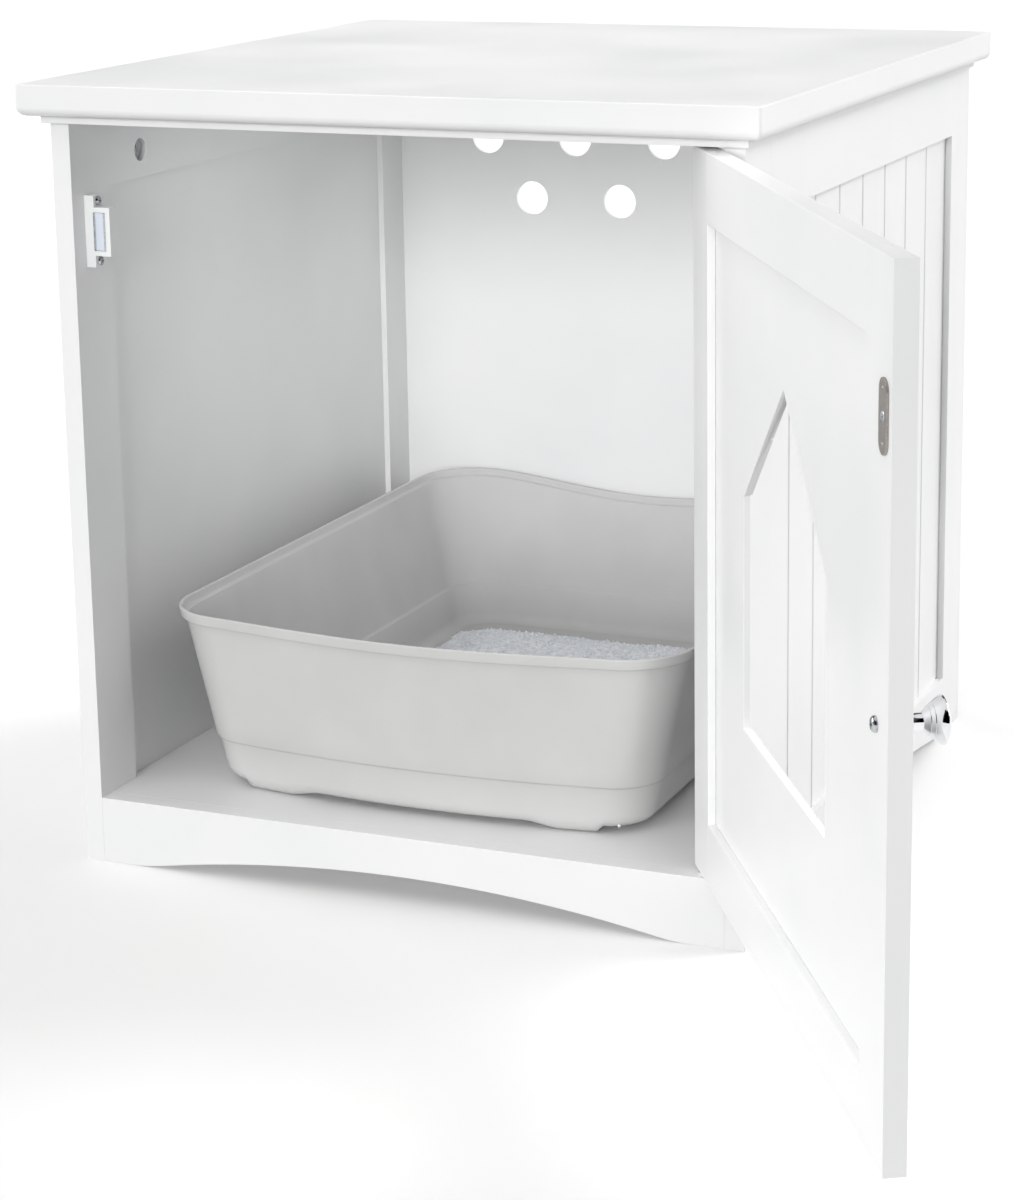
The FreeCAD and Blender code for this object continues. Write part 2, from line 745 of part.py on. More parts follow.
def make_fasteners():
    locks = []
    bolts = []
    dowels = []
    for side, end in ENDS:
        tag = f"{side + 1}_{end + 1}"
        locks.append(cam_lock("cam_lock_" + tag, side, end))
        bolts.append(cam_bolt("cam_bolt_" + tag, side, end))
        dowels.append(top_dowel("top_dowel_" + tag, side, end, "carcass_height + dowel_half_length"))
        for level in ("low_dowel_level", "high_dowel_level"):
            dowels.append(apron_dowel(f"apron_dowel_{tag}_{level}", side, end, level))
    finish(group("cam_locks", locks), "cam_locks")
    finish(group("cam_bolts", bolts), "cam_bolts")
    finish(group("wood_dowels", dowels), "wood_dowels")
    finish(group("cleat_screws", [cleat_screw(f"cleat_screw_{side + 1}_{index + 1}", side, index)
                                  for side in (1, -1) for index in (-1, 0, 1)]), "cleat_screws")
    finish(group("floor_screws", [floor_screw(f"floor_screw_{side + 1}_{index + 1}", side, index)
                                  for side in (1, -1) for index in (-1, 1)]), "floor_screws")
    finish(group("top_screws", [top_screw(f"top_screw_{index}", *where)
                                for index, where in enumerate(TOP_SCREW_PLACES)]), "top_screws")


# ---------------------------------------------------------------- pivot hinge

PIVOT_X = "carcass_width / 2 - side_thickness - pivot_from_post"
PIVOT_Y = "-carcass_depth / 2 + pivot_from_front"
DOOR_BOTTOM = "floor_level + door_bottom_gap"
DOOR_TOP = "carcass_height - door_top_gap"
TOP_PIN_TOP = "carcass_height + sub_top_thickness + pin_seat / 2"


def pivot_rod(name, radius, ends):
    return rod(name, "z", radius, ends, (PIVOT_X, PIVOT_Y))


def make_hinge():
    low = pivot_rod("bottom_pin_rod", "pin_radius",
                    ("floor_level - pin_seat", f"{DOOR_BOTTOM} + pin_reach"))
    finish(group("bottom_pivot_pin", [low]), "bottom_pivot_pin")
    high = pivot_rod("top_pin_rod", "pin_radius", (f"{DOOR_TOP} - pin_reach", TOP_PIN_TOP))
    finish(group("top_pivot_pin", [high]), "top_pivot_pin")
    washer_z = ("floor_level", "floor_level + washer_thickness")
    ring = pivot_rod("washer_ring", "washer_radius", washer_z)
    hole = pivot_rod("washer_hole", "pin_radius + pin_clearance", washer_z)
    finish(cut("pivot_washer", ring, [hole]), "pivot_washer")


# ---------------------------------------------------------------- magnetic catch

CATCH_FRONT = "-carcass_depth / 2 + door_thickness + strike_thickness + catch_gap + blade_proud"


def catch_screw_places():
    offset = "(catch_height + catch_ear_height) / 4"
    return [(f"{CATCH_FRONT} + catch_width / 2", f"{CATCH_LEVEL} {sign} {offset}") for sign in "-+"]


def catch_screw_holes(stem):
    inside = minus(POST_X)
    return [rod(f"{stem}_catch_hole_{index}", "x", "small_screw_radius",
                (f"{inside} - small_screw_bite", inside), where)
            for index, where in enumerate(catch_screw_places())]


def make_catch():
    inside = minus(POST_X)
    body_y = (CATCH_FRONT, f"{CATCH_FRONT} + catch_width")
    housing = joined("catch_blank", [
        box("catch_body", (inside, f"{inside} + catch_depth"), body_y,
            about(CATCH_LEVEL, "catch_height / 2")),
        box("catch_ears", (inside, f"{inside} + catch_ear_thickness"), body_y,
            about(CATCH_LEVEL, "catch_ear_height / 2")),
    ])
    middle = f"{inside} + blade_from_post"
    half = "(blade_spacing + blade_thickness) / 2"
    inner_y = (CATCH_FRONT, f"{CATCH_FRONT} + catch_width - catch_back")
    pocket_box = box("catch_cavity", about(middle, half), inner_y,
                     about(CATCH_LEVEL, "blade_height / 2"))
    holes = [rod(f"catch_ear_hole_{index}", "x", "small_screw_radius",
                 (inside, f"{inside} + catch_ear_thickness"), where)
             for index, where in enumerate(catch_screw_places())]
    finish(cut("catch_housing", housing, [pocket_box] + holes), "catch_housing")

    blade_y = (f"{CATCH_FRONT} - blade_proud", f"{CATCH_FRONT} + catch_width - catch_back")
    blades = []
    for sign in (-1, 1):
        blade_x = about(f"{middle} + {sign} * blade_spacing / 2", "blade_thickness / 2")
        blades.append(box(f"catch_blade_{sign + 1}", blade_x, blade_y,
                          about(CATCH_LEVEL, "blade_height / 2")))
    finish(group("catch_blades", blades), "catch_blades")
    magnet = box("magnet_block", about(middle, "(blade_spacing - blade_thickness) / 2"),
                 (f"{CATCH_FRONT} + magnet_inset", f"{CATCH_FRONT} + catch_width - catch_back"),
                 about(CATCH_LEVEL, "blade_height / 2 - magnet_inset"))
    finish(group("catch_magnet", [magnet]), "catch_magnet")

    screws = []
    for index, where in enumerate(catch_screw_places()):
        face = f"{inside} + catch_ear_thickness"
        screws.append(joined(f"catch_screw_{index}", [
            rod(f"catch_screw_head_{index}", "x", "catch_head_radius",
                (face, f"{face} + catch_head_height"), where),
            rod(f"catch_screw_shank_{index}", "x", "small_screw_radius",
                (f"{inside} - small_screw_bite", face), where),
        ]))
    finish(group("catch_screws", screws), "catch_screws")


# ---------------------------------------------------------------- door
# The door's pieces are drawn closed, about the pivot's axis, and then swung open together.

DOOR_HINGE_X = "pivot_from_post - door_side_gap"
DOOR_WIDTH = "(carcass_width - 2 * side_thickness - 2 * door_side_gap)"
DOOR_FREE_X = f"pivot_from_post - door_side_gap - {DOOR_WIDTH}"
DOOR_OUTER_Y = "-pivot_from_front"
DOOR_INNER_Y = "-pivot_from_front + door_thickness"
DOOR_PANEL_INNER = "-pivot_from_front + door_thickness - door_inner_recess"
DOOR_PANEL_OUTER = DOOR_PANEL_INNER + " - door_panel_thickness"
RECESS_HINGE_X = f"{DOOR_HINGE_X} - hinge_stile_width"
RECESS_FREE_X = f"{DOOR_FREE_X} + latch_stile_width"
RECESS_BOTTOM = f"{DOOR_BOTTOM} + door_bottom_rail"
RECESS_TOP = f"{DOOR_TOP} - door_top_rail"


def swing(item, label):
    turn = FreeCAD.Rotation(FreeCAD.Vector(0, 0, 1), 1)
    item.Placement = FreeCAD.Placement(FreeCAD.Vector(), turn)
    bind(item, "Placement.Base.x", PIVOT_X)
    bind(item, "Placement.Base.y", PIVOT_Y)
    bind(item, "Placement.Rotation.Angle", "door_open_angle")
    return finish(item, label)


def grooved_stile(name, board, groove_x, tools):
    """A stile with the panel's groove down its inner edge."""
    groove = box(name + "_groove", groove_x, (DOOR_PANEL_OUTER, DOOR_PANEL_INNER), (DOOR_BOTTOM, DOOR_TOP))
    return swing(cut(name, board, [groove] + tools), name)


def make_door():
    bush_low = (DOOR_BOTTOM, f"{DOOR_BOTTOM} + bush_length")
    bush_high = (f"{DOOR_TOP} - bush_length", DOOR_TOP)
    at_pivot = ("0", "0")
    bores = [rod(f"bush_bore_{index}", "z", "bush_radius", ends, at_pivot)
             for index, ends in enumerate((bush_low, bush_high))]
    grooved_stile("door_hinge_stile", rounded_hinge_edge(),
                  (RECESS_HINGE_X, f"{RECESS_HINGE_X} + door_groove_depth"), bores)

    bushes = [cut(f"bush_{index}", rod(f"bush_sleeve_{index}", "z", "bush_radius", ends, at_pivot),
                  [rod(f"bush_hole_{index}", "z", "pin_radius + pin_clearance", ends, at_pivot)])
              for index, ends in enumerate((bush_low, bush_high))]
    swing(group("door_pivot_bushes", bushes), "door_pivot_bushes")

    knob_at = (f"{DOOR_FREE_X} + knob_from_edge", "knob_level")
    strike_x = f"{DOOR_FREE_X} + strike_from_edge"
    knob_hole = rod("knob_hole", "y", "knob_screw_radius", (DOOR_OUTER_Y, DOOR_INNER_Y), knob_at)
    strike_hole = rod("strike_hole", "y", "small_screw_radius",
                      (f"{DOOR_INNER_Y} - small_screw_bite", DOOR_INNER_Y), (strike_x, STRIKE_LEVEL))
    latch_board = box("latch_stile_board", (DOOR_FREE_X, RECESS_FREE_X), (DOOR_OUTER_Y, DOOR_INNER_Y),
                      (DOOR_BOTTOM, DOOR_TOP))
    grooved_stile("door_latch_stile", latch_board, (f"{RECESS_FREE_X} - door_groove_depth", RECESS_FREE_X),
                  [knob_hole, strike_hole])

    rail_x = (RECESS_FREE_X, RECESS_HINGE_X)
    tongue_x = (f"{RECESS_FREE_X} - door_groove_depth", f"{RECESS_HINGE_X} + door_groove_depth")
    rail_y = (DOOR_OUTER_Y, DOOR_INNER_Y)
    tongue_y = (DOOR_PANEL_OUTER, DOOR_PANEL_INNER)
    for label, z, groove_z in (
        ("door_bottom_rail", (DOOR_BOTTOM, RECESS_BOTTOM),
         (f"{RECESS_BOTTOM} - door_groove_depth", RECESS_BOTTOM)),
        ("door_top_rail", (RECESS_TOP, DOOR_TOP), (RECESS_TOP, f"{RECESS_TOP} + door_groove_depth")),
    ):
        plank = joined(label + "_plank", [
            box(label + "_middle", rail_x, rail_y, z),
            box(label + "_tongues", tongue_x, tongue_y, z),
        ])
        swing(cut(label + "_piece", plank, [box(label + "_groove", tongue_x, tongue_y, groove_z)]), label)

    make_door_panel()
    make_knob(knob_at)
    make_strike(strike_x)


def rounded_hinge_edge():
    """The hinge stile's blank: its outer edge by the post is rounded to swing clear of it."""
    body = document.addObject("PartDesign::Body", "hinge_stile_blank")
    plan = new_sketch(body, "hinge_stile_plan", "XY_Plane")
    rectangle(plan, (RECESS_HINGE_X, DOOR_HINGE_X), (DOOR_OUTER_Y, DOOR_INNER_Y))
    pad(body, plan, f"{DOOR_TOP} - ({DOOR_BOTTOM})")
    document.recompute()
    blank = body.Shape.BoundBox

    def outer_hinge_edge(edge):
        middle = edge.BoundBox.Center
        return abs(middle.x - blank.XMax) < 1e-6 and abs(middle.y - blank.YMin) < 1e-6

    round_edges(body, "hinge_stile_round", "door_edge_round", outer_hinge_edge)
    place_body(body, ("0", "0", DOOR_BOTTOM), 0)
    return body


def make_door_panel():
    middle = f"(({RECESS_HINGE_X}) + ({RECESS_FREE_X})) / 2"
    half_width = (f"({DOOR_WIDTH} - hinge_stile_width - latch_stile_width) / 2"
                  " + door_groove_depth - panel_play")
    entry_x = f"({DOOR_HINGE_X} - entry_center) - {middle}"
    left = f"{entry_x} - entry_width / 2"
    right = f"{entry_x} + entry_width / 2"
    entry = [(left, "entry_sill"), (right, "entry_sill"), (right, "entry_shoulder"),
             (entry_x, "entry_apex"), (left, "entry_shoulder")]
    z = (f"{RECESS_BOTTOM} - door_groove_depth", f"{RECESS_TOP} + door_groove_depth - panel_play")
    panel = beaded_panel("door_panel_board", half_width, z, "door_panel_thickness", [entry])
    place_body(panel, (middle, DOOR_PANEL_INNER, "0"), 0)
    swing(group("door_panel", [panel]), "door_panel")


def make_knob(where):
    """A mushroom knob: it grows from the door's outer face towards -Y."""
    face = DOOR_OUTER_Y

    def out(distance):
        return f"{face} - ({distance})"

    head_front = "knob_head_level + knob_rim"
    crown_radius = "(knob_head_radius ^ 2 + knob_crown ^ 2) / (2 * knob_crown)"
    ball = document.addObject("Part::Sphere", "knob_ball")
    bind(ball, "Radius", crown_radius)
    set_along(ball, "y", f"{face} - ({head_front} + knob_crown) + {crown_radius}", where)
    disc = document.addObject("Part::Common", "knob_disc")
    disc.Base = ball
    disc.Tool = rod("knob_disc_core", "y", "knob_head_radius",
                    (out(f"{head_front} + knob_crown"), out("knob_head_level")), where)
    solid = joined("knob_solid", [
        rod("knob_base", "y", "knob_base_radius", (out("knob_base_thickness"), face), where),
        rod("knob_neck", "y", "knob_neck_radius", (out("knob_neck_length"), face), where),
        cone("knob_flare", "y", ("knob_collar_radius", "knob_neck_radius"),
             (out("knob_collar_level"), out("knob_neck_length")), where),
        cone("knob_head", "y", ("knob_head_radius", "knob_collar_radius"),
             (out("knob_head_level"), out("knob_collar_level")), where),
        disc,
    ])
    bore = rod("knob_thread", "y", "knob_screw_radius", (out("knob_screw_bite"), face), where)
    swing(cut("door_knob", solid, [bore]), "door_knob")

    inner = DOOR_INNER_Y
    swing(joined("knob_screw", [
        rod("knob_screw_shank", "y", "knob_screw_radius", (out("knob_screw_bite"), inner), where),
        rod("knob_screw_head", "y", "pan_head_radius", (inner, f"{inner} + pan_head_height"), where),
    ]), "knob_screw")


def make_strike(x):
    inner = DOOR_INNER_Y
    plate_y = (inner, f"{inner} + strike_thickness")
    straight = "(strike_height - strike_width) / 2"
    blank = joined("strike_blank", [
        box("strike_middle", about(x, "strike_width / 2"), plate_y, about(STRIKE_LEVEL, straight)),
        rod("strike_low_end", "y", "strike_width / 2", plate_y, (x, f"{STRIKE_LEVEL} - {straight}")),
        rod("strike_high_end", "y", "strike_width / 2", plate_y, (x, f"{STRIKE_LEVEL} + {straight}")),
    ])
    where = (x, STRIKE_LEVEL)
    sink = cone("strike_sink", "y", ("small_screw_radius", "small_head_radius"), plate_y, where)
    swing(cut("strike_plate", blank, [sink]), "strike_plate")
    swing(joined("strike_screw", [
        cone("strike_screw_head", "y", ("small_screw_radius", "small_head_radius"), plate_y, where),
        rod("strike_screw_shank", "y", "small_screw_radius", (f"{inner} - small_screw_bite", inner), where),
    ]), "strike_screw")


# ---------------------------------------------------------------- litter tray
# A vacuum-formed shell: rounded corners, a front that bows outwards, drafted walls, an outward
# step at the rim and another low down, standing on four round feet.


def tray_frame():
    """Half width, front and back of the rim's outer edge, about the tray's own middle."""
    front = -size("carcass_depth") / 2 + size("door_thickness") + size("tray_front_gap")
    back = (size("carcass_depth") / 2 - size("back_panel_inset") - size("back_panel_thickness")
            - size("tray_back_gap"))
    return size("tray_width") / 2, front, back


def plan_outline(side_inset, end_inset, level):
    """One closed plan curve of the tray, drawn in from the rim at the sides and at the ends."""
    half, front, back = tray_frame()
    half -= side_inset
    front += end_inset
    back -= end_inset
    radius = size("tray_corner") - size("tray_corner_shrink") * side_inset
    bow = size("tray_bow")
    bow_radius = (half ** 2 + bow ** 2) / (2 * bow)
    bow_center = front + bow_radius
    reach = bow_radius - radius
    corner_x = half - radius
    corner_y = bow_center - math.sqrt(reach ** 2 - corner_x ** 2)
    touch = bow_radius / reach
    touch_x = corner_x * touch
    touch_y = bow_center + (corner_y - bow_center) * touch
    slope = math.atan2(corner_x, bow_center - corner_y) / 2
    front_mid = math.radians(-45) + slope
    diagonal = radius * math.cos(math.radians(45))

    def point(x, y):
        return FreeCAD.Vector(x, y, level)

    edges = [
        Part.Arc(point(-touch_x, touch_y), point(0, front), point(touch_x, touch_y)).toShape(),
        Part.Arc(point(touch_x, touch_y),
                 point(corner_x + radius * math.cos(front_mid), corner_y + radius * math.sin(front_mid)),
                 point(half, corner_y)).toShape(),
        Part.LineSegment(point(half, corner_y), point(half, back - radius)).toShape(),
        Part.Arc(point(half, back - radius), point(corner_x + diagonal, back - radius + diagonal),
                 point(corner_x, back)).toShape(),
        Part.LineSegment(point(corner_x, back), point(-corner_x, back)).toShape(),
        Part.Arc(point(-corner_x, back), point(-corner_x - diagonal, back - radius + diagonal),
                 point(-half, back - radius)).toShape(),
        Part.LineSegment(point(-half, back - radius), point(-half, corner_y)).toShape(),
        Part.Arc(point(-half, corner_y),
                 point(-corner_x - radius * math.cos(front_mid), corner_y + radius * math.sin(front_mid)),
                 point(-touch_x, touch_y)).toShape(),
    ]
    return Part.Wire(edges)


def wall_profile(wall):
    """(side inset, end inset, level) up the wall, from the underside's edge to the rim's top;
    wall is how far inside the outer skin it runs, so each outward step comes that much higher."""
    height = size("tray_height")
    bend = size("tray_step_slope")
    rim_low = height - size("tray_rim_height") + wall
    step_low = size("tray_low_height") + wall
    round_radius = size("tray_base_round") - wall
    base = size("tray_foot_height") + wall

    def row(level, more):
        steps = wall + more
        if level < rim_low + bend / 2:
            steps += size("tray_rim_step")
        if level < step_low + bend / 2:
            steps += size("tray_low_step")
        drop = height - level
        return size("tray_side_taper") * drop + steps, size("tray_end_taper") * drop + steps, level

    rows = []
    for turn in (0, 30, 60, 90):
        angle = math.radians(turn)
        level = base + round_radius * (1 - math.cos(angle))
        rows.append(row(level, round_radius * (1 - math.sin(angle))))
    for level in (step_low, step_low + bend, rim_low, rim_low + bend, height):
        rows.append(row(level, 0.0))
    return rows


def shell_of(rows):
    return Part.makeLoft([plan_outline(*row) for row in rows], True, True)


def make_tray():
    wall = size("tray_wall")
    outer_rows = wall_profile(0.0)
    inner_rows = wall_profile(wall)
    side_inset, end_inset, top_level = inner_rows[-1]
    inside = shell_of(inner_rows + [(side_inset, end_inset, top_level + wall)])
    half, front, back = tray_frame()
    base_side, base_end, base_level = outer_rows[0]
    foot = size("tray_foot_radius")
    feet = []
    for x in (-1, 1):
        for y in (front + base_end + foot, back - base_end - foot):
            middle = FreeCAD.Vector(x * (half - base_side - foot - size("tray_foot_inset")), y, 0)
            feet.append(Part.makeCylinder(foot, base_level + wall / 2, middle))
    tray = document.addObject("Part::Feature", "litter_tray")
    tray.Shape = shell_of(outer_rows).multiFuse(feet).cut(inside).removeSplitter()
    tray.Placement.Base = FreeCAD.Vector(size("tray_offset"), 0, size("floor_level"))
    finish(tray, "litter_tray")

    play = size("litter_play")
    top = inner_rows[0][2] + size("litter_depth")
    rows = [(side + play, end + play, level) for side, end, level in inner_rows if level < top]
    last_side, last_end, last_level = rows[-1]
    rise = top - last_level
    rows.append((last_side - size("tray_side_taper") * rise, last_end - size("tray_end_taper") * rise, top))
    bed = document.addObject("Part::Feature", "litter_bed")
    bed.Shape = shell_of(rows)
    bed.Placement.Base = FreeCAD.Vector(size("tray_offset"), 0, size("floor_level"))
    finish(bed, "litter_bed")


# ---------------------------------------------------------------- build, test and write

make_top()
for cabinet_side in (1, -1):
    side_frame(cabinet_side)
make_base()
make_fasteners()
make_hinge()
make_catch()
make_door()
make_tray()
document.recompute()

for item in document.Objects:
    if "Invalid" in item.State or "Error" in item.State:
        raise RuntimeError(f"{item.Name} failed: {item.State}")
for piece in pieces:
    if piece.Shape.isNull() or not piece.Shape.isValid() or not piece.Shape.Solids:
        raise RuntimeError(f"{piece.Label} has no sound solid")

os.makedirs("parts", exist_ok=True)
for piece in pieces:
    piece.Shape.exportStep(f"parts/{piece.Label}.step")
    print(f"{piece.Label}: {len(piece.Shape.Solids)} solids, {piece.Shape.Volume / 1000:.1f} cm3")
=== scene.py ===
import bmesh
import bpy
import json
import math
import random
from mathutils import Matrix, Vector, noise

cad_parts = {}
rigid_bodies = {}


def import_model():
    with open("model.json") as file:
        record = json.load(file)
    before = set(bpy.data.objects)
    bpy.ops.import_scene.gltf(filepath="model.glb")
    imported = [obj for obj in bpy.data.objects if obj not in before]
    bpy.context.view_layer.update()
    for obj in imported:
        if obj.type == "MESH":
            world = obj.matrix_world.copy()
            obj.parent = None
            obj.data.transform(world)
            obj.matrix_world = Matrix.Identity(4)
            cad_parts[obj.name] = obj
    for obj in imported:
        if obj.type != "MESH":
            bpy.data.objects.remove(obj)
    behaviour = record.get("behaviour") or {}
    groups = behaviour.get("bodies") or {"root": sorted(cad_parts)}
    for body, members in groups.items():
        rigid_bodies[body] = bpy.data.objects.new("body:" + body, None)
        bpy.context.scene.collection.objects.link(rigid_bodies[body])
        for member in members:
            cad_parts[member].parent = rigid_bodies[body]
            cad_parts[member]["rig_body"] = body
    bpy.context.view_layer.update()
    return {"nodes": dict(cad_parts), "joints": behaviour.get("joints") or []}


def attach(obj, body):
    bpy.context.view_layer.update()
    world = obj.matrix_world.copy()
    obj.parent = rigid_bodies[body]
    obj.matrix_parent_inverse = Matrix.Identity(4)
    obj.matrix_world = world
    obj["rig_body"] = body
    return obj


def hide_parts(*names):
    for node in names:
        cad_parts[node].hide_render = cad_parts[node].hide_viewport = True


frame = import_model()
cadNodes = frame["nodes"]
scene = bpy.context.scene
print("frame loaded")


def hexColour(text):
    # sRGB hex to the linear colour that shaders take
    parts = [int(text[i:i + 2], 16) / 255 for i in (1, 3, 5)]
    return [c / 12.92 if c <= 0.04045 else ((c + 0.055) / 1.055) ** 2.4 for c in parts] + [1.0]


def addNode(tree, kind, inputs=None, stops=None, **settings):
    # inputs are sockets to link or values to set; stops are a ramp's (position, hex colour) pairs
    node = tree.nodes.new("ShaderNode" + kind)
    for name, value in settings.items():
        setattr(node, name, value)
    for name, value in (inputs or {}).items():
        if isinstance(value, bpy.types.NodeSocket):
            tree.links.new(value, node.inputs[name])
        else:
            node.inputs[name].default_value = value
    for element, (position, colour) in zip(node.color_ramp.elements if stops else (), stops or ()):
        element.position = position
        element.color = hexColour(colour)
    return node


def newMaterial(name):
    material = bpy.data.materials.new(name)
    material.use_nodes = True
    tree = material.node_tree
    tree.nodes.clear()
    return material, tree, addNode(tree, "TexCoord").outputs["Object"]


# camera: the photograph's viewing angle, from a fit of the cabinet's corners

camera = {
    "place": (0.78284, -1.86349, 0.69760),
    "turn": (76.8523, 0.8193, 22.7792),
    "lens": 89.99,
    "shift": (-0.0250, -0.1049),
}


def makeCamera():
    data = bpy.data.cameras.new("photoCamera")
    data.lens = camera["lens"]
    data.sensor_width = 36.0
    data.shift_x, data.shift_y = camera["shift"]
    data.clip_end = 100.0
    item = bpy.data.objects.new("photoCamera", data)
    item.location = camera["place"]
    item.rotation_euler = [math.radians(angle) for angle in camera["turn"]]
    scene.collection.objects.link(item)
    scene.camera = item


makeCamera()


# studio: a pale floor and soft lamps; the chrome sees the dark room behind the camera
studio = {
    "floorSize": 40.0,
    "sky": "#868686", "skyStrength": 0.49, "ground": "#FFFFFF", "horizon": 0.05,
    "darkRoom": (0.28, -0.94, 0.19), "darkEdge": (0.50, 0.80), "darkTone": "#080808",
    # name: from where it shines, softness in degrees, strength
    "suns": {
        "leftFront": ((-0.6, -0.8, 0.25), 20.0, 0.41),
        "frontKey": ((0.1, -1.0, 0.2), 20.0, 1.75),
        "rightFront": ((0.5, -0.85, 0.35), 25.0, 0.15),
        "highFront": ((-0.1, -0.8, 0.9), 30.0, 0.63),
        "rearRight": ((0.8, 0.7, 0.5), 40.0, 2.9),
        "topWash": ((0.0, 0.0, 1.0), 70.0, 0.86),
        "leftFill": ((-1.0, 0.0, 0.3), 30.0, 1.33),
    },
    # name: place, aim, size in metres, watts
    "panels": {
        "insideHigh": ((0.06, -0.15, 0.42), (-0.12, 0.24, 0.2), (0.2, 0.12), 0.25),
        "overTop": ((-0.05, 0.05, 1.15), (-0.05, 0.05, 0.0), (0.7, 0.7), 1.15),
    },
}


def floorMaterial():
    # seamless paper, matt: nearly white, with the faintest mottling
    material, tree, spot = newMaterial("seamlessPaper")
    mottle = addNode(tree, "TexNoise", {"Vector": spot, "Scale": 6.0, "Detail": 3.0}).outputs["Fac"]
    ramp = [(0.3, "#FAFAF9"), (0.7, "#FCFCFC")]
    colour = addNode(tree, "ValToRGB", {"Fac": mottle}, ramp).outputs["Color"]
    shader = addNode(tree, "BsdfPrincipled", {"Base Color": colour, "Roughness": 0.9})
    addNode(tree, "OutputMaterial", {"Surface": shader.outputs["BSDF"]})
    return material


def addLamp(name, data, spot, turn, glossy):
    lamp = bpy.data.objects.new(name, data)
    lamp.location = spot
    lamp.rotation_euler = turn.to_euler()
    lamp.visible_camera = False
    lamp.visible_glossy = glossy
    scene.collection.objects.link(lamp)


def makeStudio():
    mesh = bpy.data.meshes.new("studioFloor")
    bm = bmesh.new()
    bmesh.ops.create_grid(bm, x_segments=4, y_segments=4, size=studio["floorSize"] / 2)
    bm.to_mesh(mesh)
    bm.free()
    mesh.materials.append(floorMaterial())
    floor = bpy.data.objects.new("studioFloor", mesh)
    floor.visible_diffuse = False  # so that it doesn't light the roundings' undersides
    scene.collection.objects.link(floor)
    for name, (source, softness, strength) in studio["suns"].items():
        data = bpy.data.lights.new(name, "SUN")
        data.angle = math.radians(softness)
        data.energy = strength
        # a lamp in front of the dark room doesn't show in gloss
        glossy = Vector(source).normalized().dot(studio["darkRoom"]) < studio["darkEdge"][0]
        addLamp(name, data, source, Vector(source).to_track_quat("Z", "Y"), glossy)
    for name, (spot, aim, size, watts) in studio["panels"].items():
        data = bpy.data.lights.new(name, "AREA")
        data.shape = "RECTANGLE"
        data.size, data.size_y = size
        data.energy = watts
        addLamp(name, data, spot, (Vector(aim) - Vector(spot)).to_track_quat("-Z", "Y"), False)
    world = bpy.data.worlds.new("softRoom")
    world.use_nodes = True
    tree = world.node_tree
    tree.nodes.clear()
    way = addNode(tree, "TexCoord").outputs["Generated"]
    height = addNode(tree, "SeparateXYZ", {"Vector": way}).outputs["Z"]
    glow = addNode(tree, "ValToRGB", {"Fac": height},
                   [(0.0, studio["ground"]), (studio["horizon"], studio["sky"])])
    facing = addNode(tree, "VectorMath", {0: way, 1: studio["darkRoom"]}, operation="DOT_PRODUCT")
    room = addNode(tree, "ValToRGB", {"Fac": facing.outputs["Value"]},
                   list(zip(studio["darkEdge"], ("#FFFFFF", studio["darkTone"]))))
    both = addNode(tree, "MixRGB", {
        "Fac": 1.0, "Color1": glow.outputs["Color"], "Color2": room.outputs["Color"],
    }, blend_type="MULTIPLY")
    light = addNode(tree, "Background", {
        "Color": both.outputs["Color"], "Strength": studio["skyStrength"]})
    addNode(tree, "OutputWorld", {"Surface": light.outputs["Background"]})
    scene.world = world


makeStudio()
scene.view_settings.view_transform = "Standard"
print("studio ready")


def sprayedPaint():
    # acrylic enamel sprayed on board: satin white, a fine stipple and a slow drift in sheen
    material, tree, spot = newMaterial("sprayedEnamel")
    drift = addNode(tree, "TexNoise", {"Vector": spot, "Scale": 9.0, "Detail": 2.0}).outputs["Fac"]
    ramp = [(0.3, "#EBECEC"), (0.7, "#F0F0F0")]
    colour = addNode(tree, "ValToRGB", {"Fac": drift}, ramp).outputs["Color"]
    sheen = addNode(tree, "MapRange", {"Value": drift, "From Min": 0.3, "From Max": 0.7,
                                       "To Min": 0.30, "To Max": 0.38}).outputs["Result"]
    peel = addNode(tree, "TexNoise", {"Vector": spot, "Scale": 500.0, "Detail": 1.0})  # 2 mm orange peel
    wave = addNode(tree, "TexNoise", {"Vector": spot, "Scale": 65.0, "Detail": 1.0})  # 15 mm waves
    first = addNode(tree, "Bump", {"Height": wave.outputs["Fac"], "Strength": 0.25, "Distance": 0.0002})
    bump = addNode(tree, "Bump", {"Height": peel.outputs["Fac"], "Strength": 0.2, "Distance": 0.0001,
                                  "Normal": first.outputs["Normal"]})
    shader = addNode(tree, "BsdfPrincipled", {
        "Base Color": colour, "Roughness": sheen, "IOR": 1.48, "Normal": bump.outputs["Normal"]})
    addNode(tree, "OutputMaterial", {"Surface": shader.outputs["BSDF"]})
    return material


# name: dark, light, least and most roughness, specks per metre, their depth in metres
metals = {
    # tumbled zinc casting: dull and pale, with a soft sandy skin
    "diecastZinc": ("#B4B7B9", "#D2D5D7", 0.50, 0.62, 900.0, 0.0001),
    # rolled steel under bright zinc plate: a cool, even shine
    "zincPlatedSteel": ("#A9ADB1", "#D0D3D6", 0.16, 0.26, 700.0, 0.00003),
    # pressed steel, nickelled and rumbled: warm grey, close to matt
    "nickelledSteel": ("#9C9691", "#AFA9A4", 0.30, 0.38, 1100.0, 0.00004),
    # polished and chromed brass: mirrors the room, with a trace of orange peel
    "chromePlate": ("#D9DADC", "#E6E7E9", 0.03, 0.06, 60.0, 0.00002),
}


